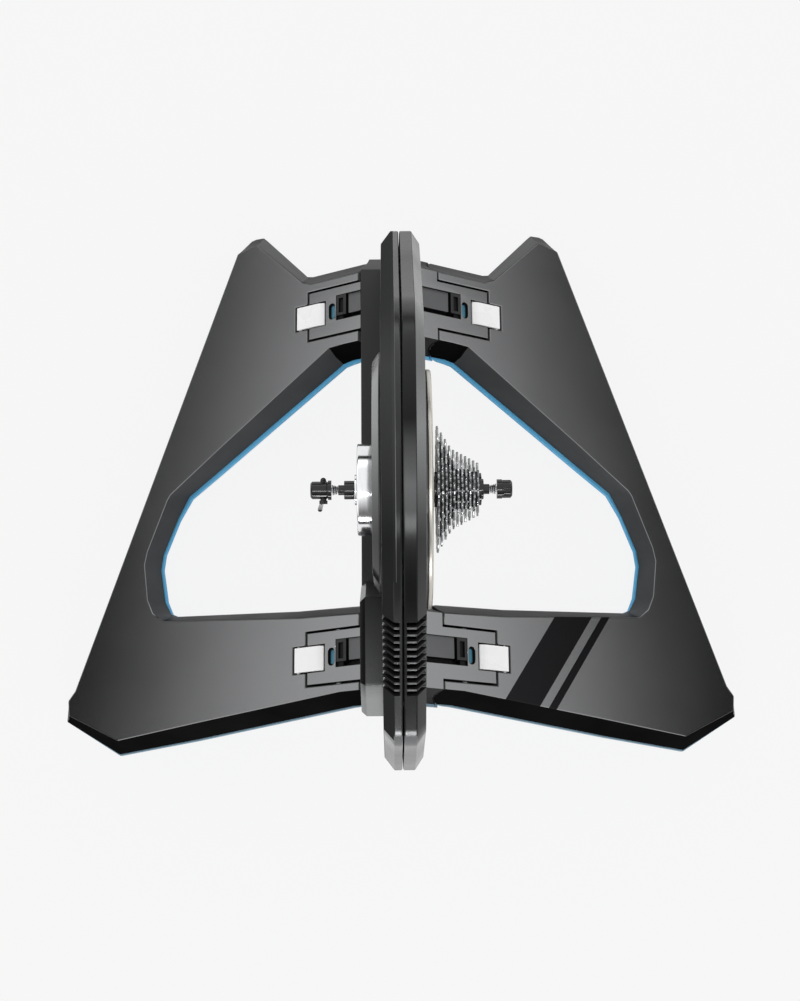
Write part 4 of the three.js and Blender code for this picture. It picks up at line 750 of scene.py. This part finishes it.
def housing_pick(side):
    """Crown, chamfer and walls of a housing half, with painted shade on slot walls and painted
    highlights on ribs.
    """
    mirror = SIDES[side]

    def pick(centre, normal):
        tilt = abs(normal.x)
        looks_back = normal.y < LOOKS_BACK and normal.z > SEEN
        if looks_back and centre.y < TAIL_FRONT and tilt < TAIL_TILT:
            return "tail"
        among_slots = SLOTS[0] < centre.y < SLOTS[1] and centre.z > SLOT_LOW
        # Slot walls get near-black painted shade
        if among_slots and abs(normal.dot(SLOT_SLOPE)) > SLOT_WALL:
            return "recess_painted_shade"
        if normal.z < SEEN and normal.y > LOOKS_BACK or tilt > WALL_TILT:
            return "shell"
        if tilt > CHAMFER_TILT:
            # On the right, faces in the crease between crown and chamfer get near-black painted
            # shade
            crease_shade = side == "right" and tilt < CREASE_SHADE_TILT
            return "recess_painted_shade" if crease_shade else f"chamfer_{side}"
        # A thin strip along the left crown's edge gets a painted highlight
        if side == "left" and centre.y > RIDGE_HIGHLIGHT_REAR and centre.x < RIDGE_HIGHLIGHT[1]:
            return "chamfer_left" if centre.x < RIDGE_HIGHLIGHT[0] else "ridge_painted_highlight"
        # Rib tops in the middle of the slots get a painted highlight
        if among_slots and RIB_HIGHLIGHT_SPAN[0] < centre.y < RIB_HIGHLIGHT_SPAN[1] and centre.x * mirror > RIB_HIGHLIGHT_END:
            return "rib_painted_highlight"
        return f"crown_{side}"

    return pick


def plate_pick(centre, normal):
    bevelled = -WALL_TILT < normal.x < -CHAMFER_TILT and normal.z > SEEN
    return "plate_edge" if bevelled else "frame"


def cover_pick(centre, normal):
    if normal.z < SEEN and normal.y > -CHAMFER_TILT:
        return "shell"
    return "cover_edge" if abs(normal.x) > CHAMFER_TILT else "cover_top"


def dress_body():
    dress("main_frame", ["frame"], width=0.0008)
    kinds = ["shell", "recess_painted_shade", "ridge_painted_highlight", "rib_painted_highlight", "tail"]
    for side, splits in (("right", (RIB_HIGHLIGHT_END,)), ("left", (-RIB_HIGHLIGHT_END, *RIDGE_HIGHLIGHT))):
        parts = [*kinds, f"chamfer_{side}", f"crown_{side}"]
        dress(f"housing_{side}", parts, housing_pick(side), width=0.0007, splits=splits)
    dress("motor_plate", ["frame", "plate_edge"], plate_pick, width=0.0006)
    parts = ["shell", "cover_top", "cover_edge"]
    dress("electronics_cover", parts, cover_pick, width=0.0006)
    dress("power_inlet", ["dark_plastic"])


# Hub, motor and cassette

# Profiles of turned pieces, as X and radius in millimetres
CAP_PROFILE = [
    (-26.3, 41), (-26.3, 43.5), (-39.3, 43.5), (-40.3, 43.1), (-40.7, 42.1), (-40.7, 36.2),
    (-40.2, 35.8), (-40.2, 34.6), (-40.7, 34.2), (-40.7, 19), (-40.3, 18.6), (-40.3, 9),
    (-38.2, 9), (-38.2, 41),
]
BOSS_PROFILE = [(-43.2, 8.8), (-41, 8.8), (-41, 14.5), (-43.2, 14.5)]
ROTOR_PROFILE = [(23.8, 24.3), (28, 24.3), (28, 110.6), (26.6, 112), (23.8, 112)]
LEFT_PROFILE = [(-43.6, 2.8), (-58.6, 2.8), (-58.6, 4.75), (-53, 4.75), (-53, 8.75), (-43.6, 8.75)]
RIGHT_PROFILE = [(74.6, 2.8), (82.6, 2.8), (82.6, 4.75), (77, 4.75), (77, 9.6), (74.6, 9.6)]
# Pieces that keep the CAD's own mesh
PLAIN_PIECES = {
    "axle": "steel",
    "skewer_rod": "steel",
    "bearing_left": "steel",
    "bearing_right": "steel",
    "freehub_bearing": "steel",
    "freehub_body": "dark_metal",
    "stator_carrier": "silver",
    "stator_core": "iron",
    "stator_windings": "copper",
    "rotor_magnets": "iron",
    "rotor_cup": "iron",
    "circuit_board": "board",
}


def dress_hub():
    lathe("hub_cap_shell", CAP_PROFILE, "base", "silver", "silver", "hub_cap", steps=128)
    lathe("hub_cap_boss", BOSS_PROFILE, "base", "silver", "silver", "hub_cap_disc", radius=0.0006)
    lathe("rotor_disc_face", ROTOR_PROFILE, "rotor", "ivory", "ivory", "rotor_disc", steps=160)
    for side, profile in (("left", LEFT_PROFILE), ("right", RIGHT_PROFILE)):
        node = f"end_adapter_{side}"
        lathe(f"{node}_turned", profile, "base", "dark_metal", "dark_metal", node, steps=64)
    for node in ("cam_housing", "cam_lever", "skewer_nut"):
        dress(node, ["dark_metal"], width=0.0003, least=40, angle=30)
    for node, material in PLAIN_PIECES.items():
        for place in frame["nodes"][node].material_slots:
            place.material = FINISHES[material]


# Cassette, in millimetres
SPROCKET_TEETH = (28, 25, 22, 19, 17, 16, 15, 14, 13, 12, 11)
GROUPS = {"sprocket_group_large": (0, 1, 2), "sprocket_group_middle": (3, 4)}
FIRST_SINGLE = 5
SPROCKET_PITCH = 3.74
SPROCKET_THICKNESS = 1.8
FIRST_SPROCKET = 33.9
BORE_RADIUS = 17.2
BORE_STEPS = 72
CHAIN_PITCH = 12.7
ROLLER_RADIUS = 3.97
ROOT_ANGLES = (-62, -31, 0, 31, 62)
TOOTH_RISE = 2.8
TIP_SHARE = 0.09
WINDOW_INNER = 23.5
WINDOW_RIM = 10.5
WINDOW_SHARE = 0.72
WINDOWS = {28: 10, 25: 10, 22: 8, 19: 8}
SPACER_RADIUS = 19
SPACER_BORE = 17.4
SPACER_GAP = 0.05
SPACER_CHAMFER = (0.3, 0.4)
LEAST_SPACED_TEETH = 13
CARRIER_RADII = {0: 45, 1: 40, 2: 33.6, 3: 27.8}
CARRIER_STEPS = 96
CARRIER_ARMS = 6
CARRIER_ARM_LEAST = 8
CARRIER_WINDOW_SHARE = 0.6
CARRIER_HUB = 1
CARRIER_RIM = 3


def pitch_radius(teeth):
    return CHAIN_PITCH / 2 / math.sin(math.pi / teeth)


def tooth_outline(teeth):
    """Each tooth gap is an arc that a chain roller fits, and each tip is flat."""
    radius = pitch_radius(teeth)
    tip = radius + TOOTH_RISE
    pitch = 2 * math.pi / teeth
    points = []
    for i in range(teeth):
        turn = i * pitch
        for lean in ROOT_ANGLES:
            angle = turn + math.pi - math.radians(lean)
            points.append((
                radius * math.cos(turn) + ROLLER_RADIUS * math.cos(angle),
                radius * math.sin(turn) + ROLLER_RADIUS * math.sin(angle),
            ))
        for share in (-TIP_SHARE, TIP_SHARE):
            angle = turn + (0.5 + share) * pitch
            points.append((tip * math.cos(angle), tip * math.sin(angle)))
    return points


def windows_ring(count, inner, outer, share, steps=8):
    """A ring of windows between two radii. They take up a share of the way around."""
    outlines = []
    half = share * math.pi / count
    for i in range(count):
        middle = 2 * math.pi * (i + 0.5) / count
        outlines.append([
            *circle(outer, steps, middle - half, middle + half, closed=False),
            *circle(inner, steps, middle + half, middle - half, closed=False),
        ])
    return outlines


def sprocket_mesh(index):
    teeth = SPROCKET_TEETH[index]
    outlines = [tooth_outline(teeth), circle(BORE_RADIUS, BORE_STEPS)]
    depth = pitch_radius(teeth) - WINDOW_RIM - WINDOW_INNER
    if teeth in WINDOWS:
        outlines += windows_ring(WINDOWS[teeth], WINDOW_INNER, WINDOW_INNER + depth, WINDOW_SHARE)
    left = FIRST_SPROCKET + index * SPROCKET_PITCH - SPROCKET_THICKNESS / 2
    return plate_mesh(f"sprocket_plate_{teeth}", outlines, left, SPROCKET_THICKNESS)


def gap_mesh(index):
    """What fills the gap behind a sprocket: a carrier, with arms where they fit, or a spacer."""
    left = FIRST_SPROCKET + index * SPROCKET_PITCH + SPROCKET_THICKNESS / 2 + SPACER_GAP
    thickness = SPROCKET_PITCH - SPROCKET_THICKNESS - 2 * SPACER_GAP
    if index not in CARRIER_RADII:
        right, outer = left + thickness, SPACER_RADIUS
        across, down = SPACER_CHAMFER
        return lathe_mesh("spacer", in_metres([
            (left, SPACER_BORE), (right, SPACER_BORE), (right, outer - down),
            (right - across, outer), (left + across, outer), (left, outer - down),
        ]), BORE_STEPS)
    radius = CARRIER_RADII[index]
    outlines = [circle(radius, CARRIER_STEPS), circle(BORE_RADIUS, BORE_STEPS)]
    if radius > SPACER_RADIUS + CARRIER_ARM_LEAST:
        inner, outer = SPACER_RADIUS + CARRIER_HUB, radius - CARRIER_RIM
        outlines += windows_ring(CARRIER_ARMS, inner, outer, CARRIER_WINDOW_SHARE)
    return plate_mesh(f"carrier_{index}", outlines, left, thickness)


def dress_cassette():
    groups = dict(GROUPS)
    for index in range(FIRST_SINGLE, len(SPROCKET_TEETH)):
        groups[f"sprocket_{SPROCKET_TEETH[index]}"] = (index,)
    for node, indices in groups.items():
        plates = joined(f"{node}_teeth", [sprocket_mesh(index) for index in indices])
        piece = place_piece(f"{node}_teeth", plates, "cassette", ["sprocket"], angle=30)
        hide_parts(node)
        gaps = [gap_mesh(index) for index in indices if SPROCKET_TEETH[index] > LEAST_SPACED_TEETH]
        if gaps:
            name = f"{node}_spacer"
            place_piece(name, joined(name, gaps), "cassette", ["spacer"], angle=30)
    dress("lockring", ["dark_metal"], width=0.0003)


# Conical springs, in millimetres: where each starts and ends along the axle, their turns, wire,
# room at the ends and radii
SPRINGS = {"left": (-58.6, -64.9), "right": (82.6, 89.4)}
SPRING_TURNS = 3
SPRING_STEPS = 28
WIRE_RADIUS = 0.45
SPRING_END_GAP = 0.3
SPRING_SMALL, SPRING_LARGE = 3.3, 4.6


def dress_springs():
    """Each spring's wire as a smooth tube on the CAD's line."""
    inset = WIRE_RADIUS + SPRING_END_GAP
    for side, (start, end) in SPRINGS.items():
        direction = 1 if end > start else -1
        length = abs(end - start) - 2 * inset
        curve = bpy.data.curves.new(f"spring_{side}_wire", "CURVE")
        curve.dimensions = "3D"
        curve.bevel_depth = WIRE_RADIUS * MM
        curve.bevel_resolution = 4
        curve.use_fill_caps = True
        count = SPRING_TURNS * SPRING_STEPS
        spline = curve.splines.new("POLY")
        spline.points.add(count)
        for i, point in enumerate(spline.points):
            share = i / count
            turn = 2 * math.pi * SPRING_TURNS * share
            radius = (SPRING_SMALL + (SPRING_LARGE - SPRING_SMALL) * share) * MM
            x = (start + direction * (inset + length * share)) * MM
            point.co = (x, radius * math.cos(turn), AXLE_HEIGHT + radius * math.sin(turn), 1)
        mesh = curve_mesh(f"spring_{side}_holder", curve)
        body = body_of(f"spring_{side}")
        piece = place_piece(f"spring_{side}_wire", mesh, body, ["dark_metal"], angle=60)
        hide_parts(f"spring_{side}")


# Stage, light and camera

PALE = (0.922, 0.922, 0.922)
FLOOR_HALF = 6.0
FLOOR_LEVEL = -0.0004
FLOOR_EVENNESS = 0.95


def stage_material():
    """Plain pale floor, even where it is seen or mirrored, with a trace of the object's shadow."""
    material = bpy.data.materials.new("pale_floor")
    material.use_nodes = True
    made = Nodes(material.node_tree)
    made.tree.nodes.clear()
    diffuse = made.plain("ShaderNodeBsdfDiffuse", (0.9, 0.9, 0.9))
    glow = made.plain("ShaderNodeEmission", PALE)
    path = made.node("ShaderNodeLightPath").outputs
    reflected = made.math("MAXIMUM", path["Is Glossy Ray"], path["Is Transmission Ray"])
    seen = made.math("MAXIMUM", path["Is Camera Ray"], reflected)
    share = made.math("MULTIPLY", seen, FLOOR_EVENNESS)
    made.output("ShaderNodeOutputMaterial", share, diffuse, glow)
    return material


def make_stage():
    mesh = bpy.data.meshes.new("floor")
    corners = [
        (x * FLOOR_HALF, y * FLOOR_HALF, FLOOR_LEVEL)
        for x, y in ((-1, -1), (1, -1), (1, 1), (-1, 1))
    ]
    mesh.from_pydata(corners, [], [(0, 1, 2, 3)])
    mesh.materials.append(stage_material())
    floor = bpy.data.objects.new("floor", mesh)
    bpy.context.scene.collection.objects.link(floor)


# Brightness of the studio dome by a direction's height, to which a share of its run fore or aft is
# added
DOME = (
    (0.0, 0.01),
    (0.28, 0.01),
    (0.305, 0.07),
    (0.33, 0.27),
    (0.355, 0.62),
    (0.38, 1.05),
    (0.415, 1.6),
    (0.55, 1.5),
    (0.75, 1.0),
    (1.0, 1.0),
)
HEIGHT_SHARE = 0.2
# How dim the dome is at the rear, and the forward runs between which it reaches full strength. A
# share of the sideways run is added to the forward one.
REAR_STRENGTH = 0.12
REAR_SPAN = (-0.85, -0.3)
SIDE_SHARE = 0.8


def make_world():
    """A studio dome: bright overhead, dark at the horizon, plain and pale where it is seen."""
    world = bpy.data.worlds.new("studio")
    bpy.context.scene.world = world
    world.use_nodes = True
    made = Nodes(world.node_tree)
    made.tree.nodes.clear()
    split = made.node("ShaderNodeSeparateXYZ")
    made.link(made.node("ShaderNodeTexCoord").outputs["Generated"], split.inputs[0])
    x, y, z = split.outputs
    height = made.math("MULTIPLY_ADD", made.math("ABSOLUTE", y), HEIGHT_SHARE, z)
    ahead = made.math("MULTIPLY_ADD", made.math("ABSOLUTE", x), SIDE_SHARE, y)
    dome = made.node("ShaderNodeBackground")
    tones = made.ramp(height, [(place, [value] * 3) for place, value in DOME])
    made.link(tones, dome.inputs["Color"])
    made.link(made.spread(ahead, REAR_STRENGTH, 1.0, *REAR_SPAN), dome.inputs["Strength"])
    pale = made.plain("ShaderNodeBackground", PALE)
    path = made.node("ShaderNodeLightPath").outputs
    made.output("ShaderNodeOutputWorld", path["Is Camera Ray"], dome.outputs[0], pale)


# Lamps: their place, what they aim at, their width and depth, and their power in watts
LAMPS = {
    "strip_light": ((0, -0.43, 2.6), (0, -0.1, AXLE_HEIGHT), (0.9, 0.13), 7),
    "rear_light": ((0, -2.4, 0.9), (0, 0, AXLE_HEIGHT), (0.8, 0.3), 13),
}


def add_lamp(name, place, aim, size, power):
    data = bpy.data.lights.new(name, "AREA")
    data.shape = "RECTANGLE"
    data.size, data.size_y = size
    data.energy = power
    lamp = bpy.data.objects.new(name, data)
    bpy.context.scene.collection.objects.link(lamp)
    lamp.location = place
    lamp.rotation_euler = (Vector(aim) - Vector(place)).to_track_quat("-Z", "Y").to_euler()
    lamp.visible_camera = False


# The photo's camera looks straight down, a little off the middle and turned by a trace. Its focal
# length and the shift of its frame are in the photo's own pixels.
PHOTO_HEIGHT = 1001
FOCAL_LENGTH = 1716.5
FRAME_SHIFT = 8.6
SENSOR_HEIGHT = 24
CAMERA_PLACE = (-0.009, -0.010, 1.95)
CAMERA_ROLL = -0.45


def make_camera():
    data = bpy.data.cameras.new("camera")
    data.sensor_fit = "VERTICAL"
    data.sensor_height = SENSOR_HEIGHT
    data.lens = FOCAL_LENGTH / PHOTO_HEIGHT * SENSOR_HEIGHT
    data.shift_x = FRAME_SHIFT / PHOTO_HEIGHT
    camera = bpy.data.objects.new("camera", data)
    bpy.context.scene.collection.objects.link(camera)
    camera.location = CAMERA_PLACE
    camera.rotation_euler = (0, 0, math.radians(CAMERA_ROLL))
    bpy.context.scene.camera = camera


make_camera()
make_stage()
make_world()
for lamp_name, settings in LAMPS.items():
    add_lamp(lamp_name, *settings)
dress_wings()
dress_body()
dress_hub()
dress_cassette()
dress_springs()

bpy.context.scene.view_settings.view_transform = "Standard"
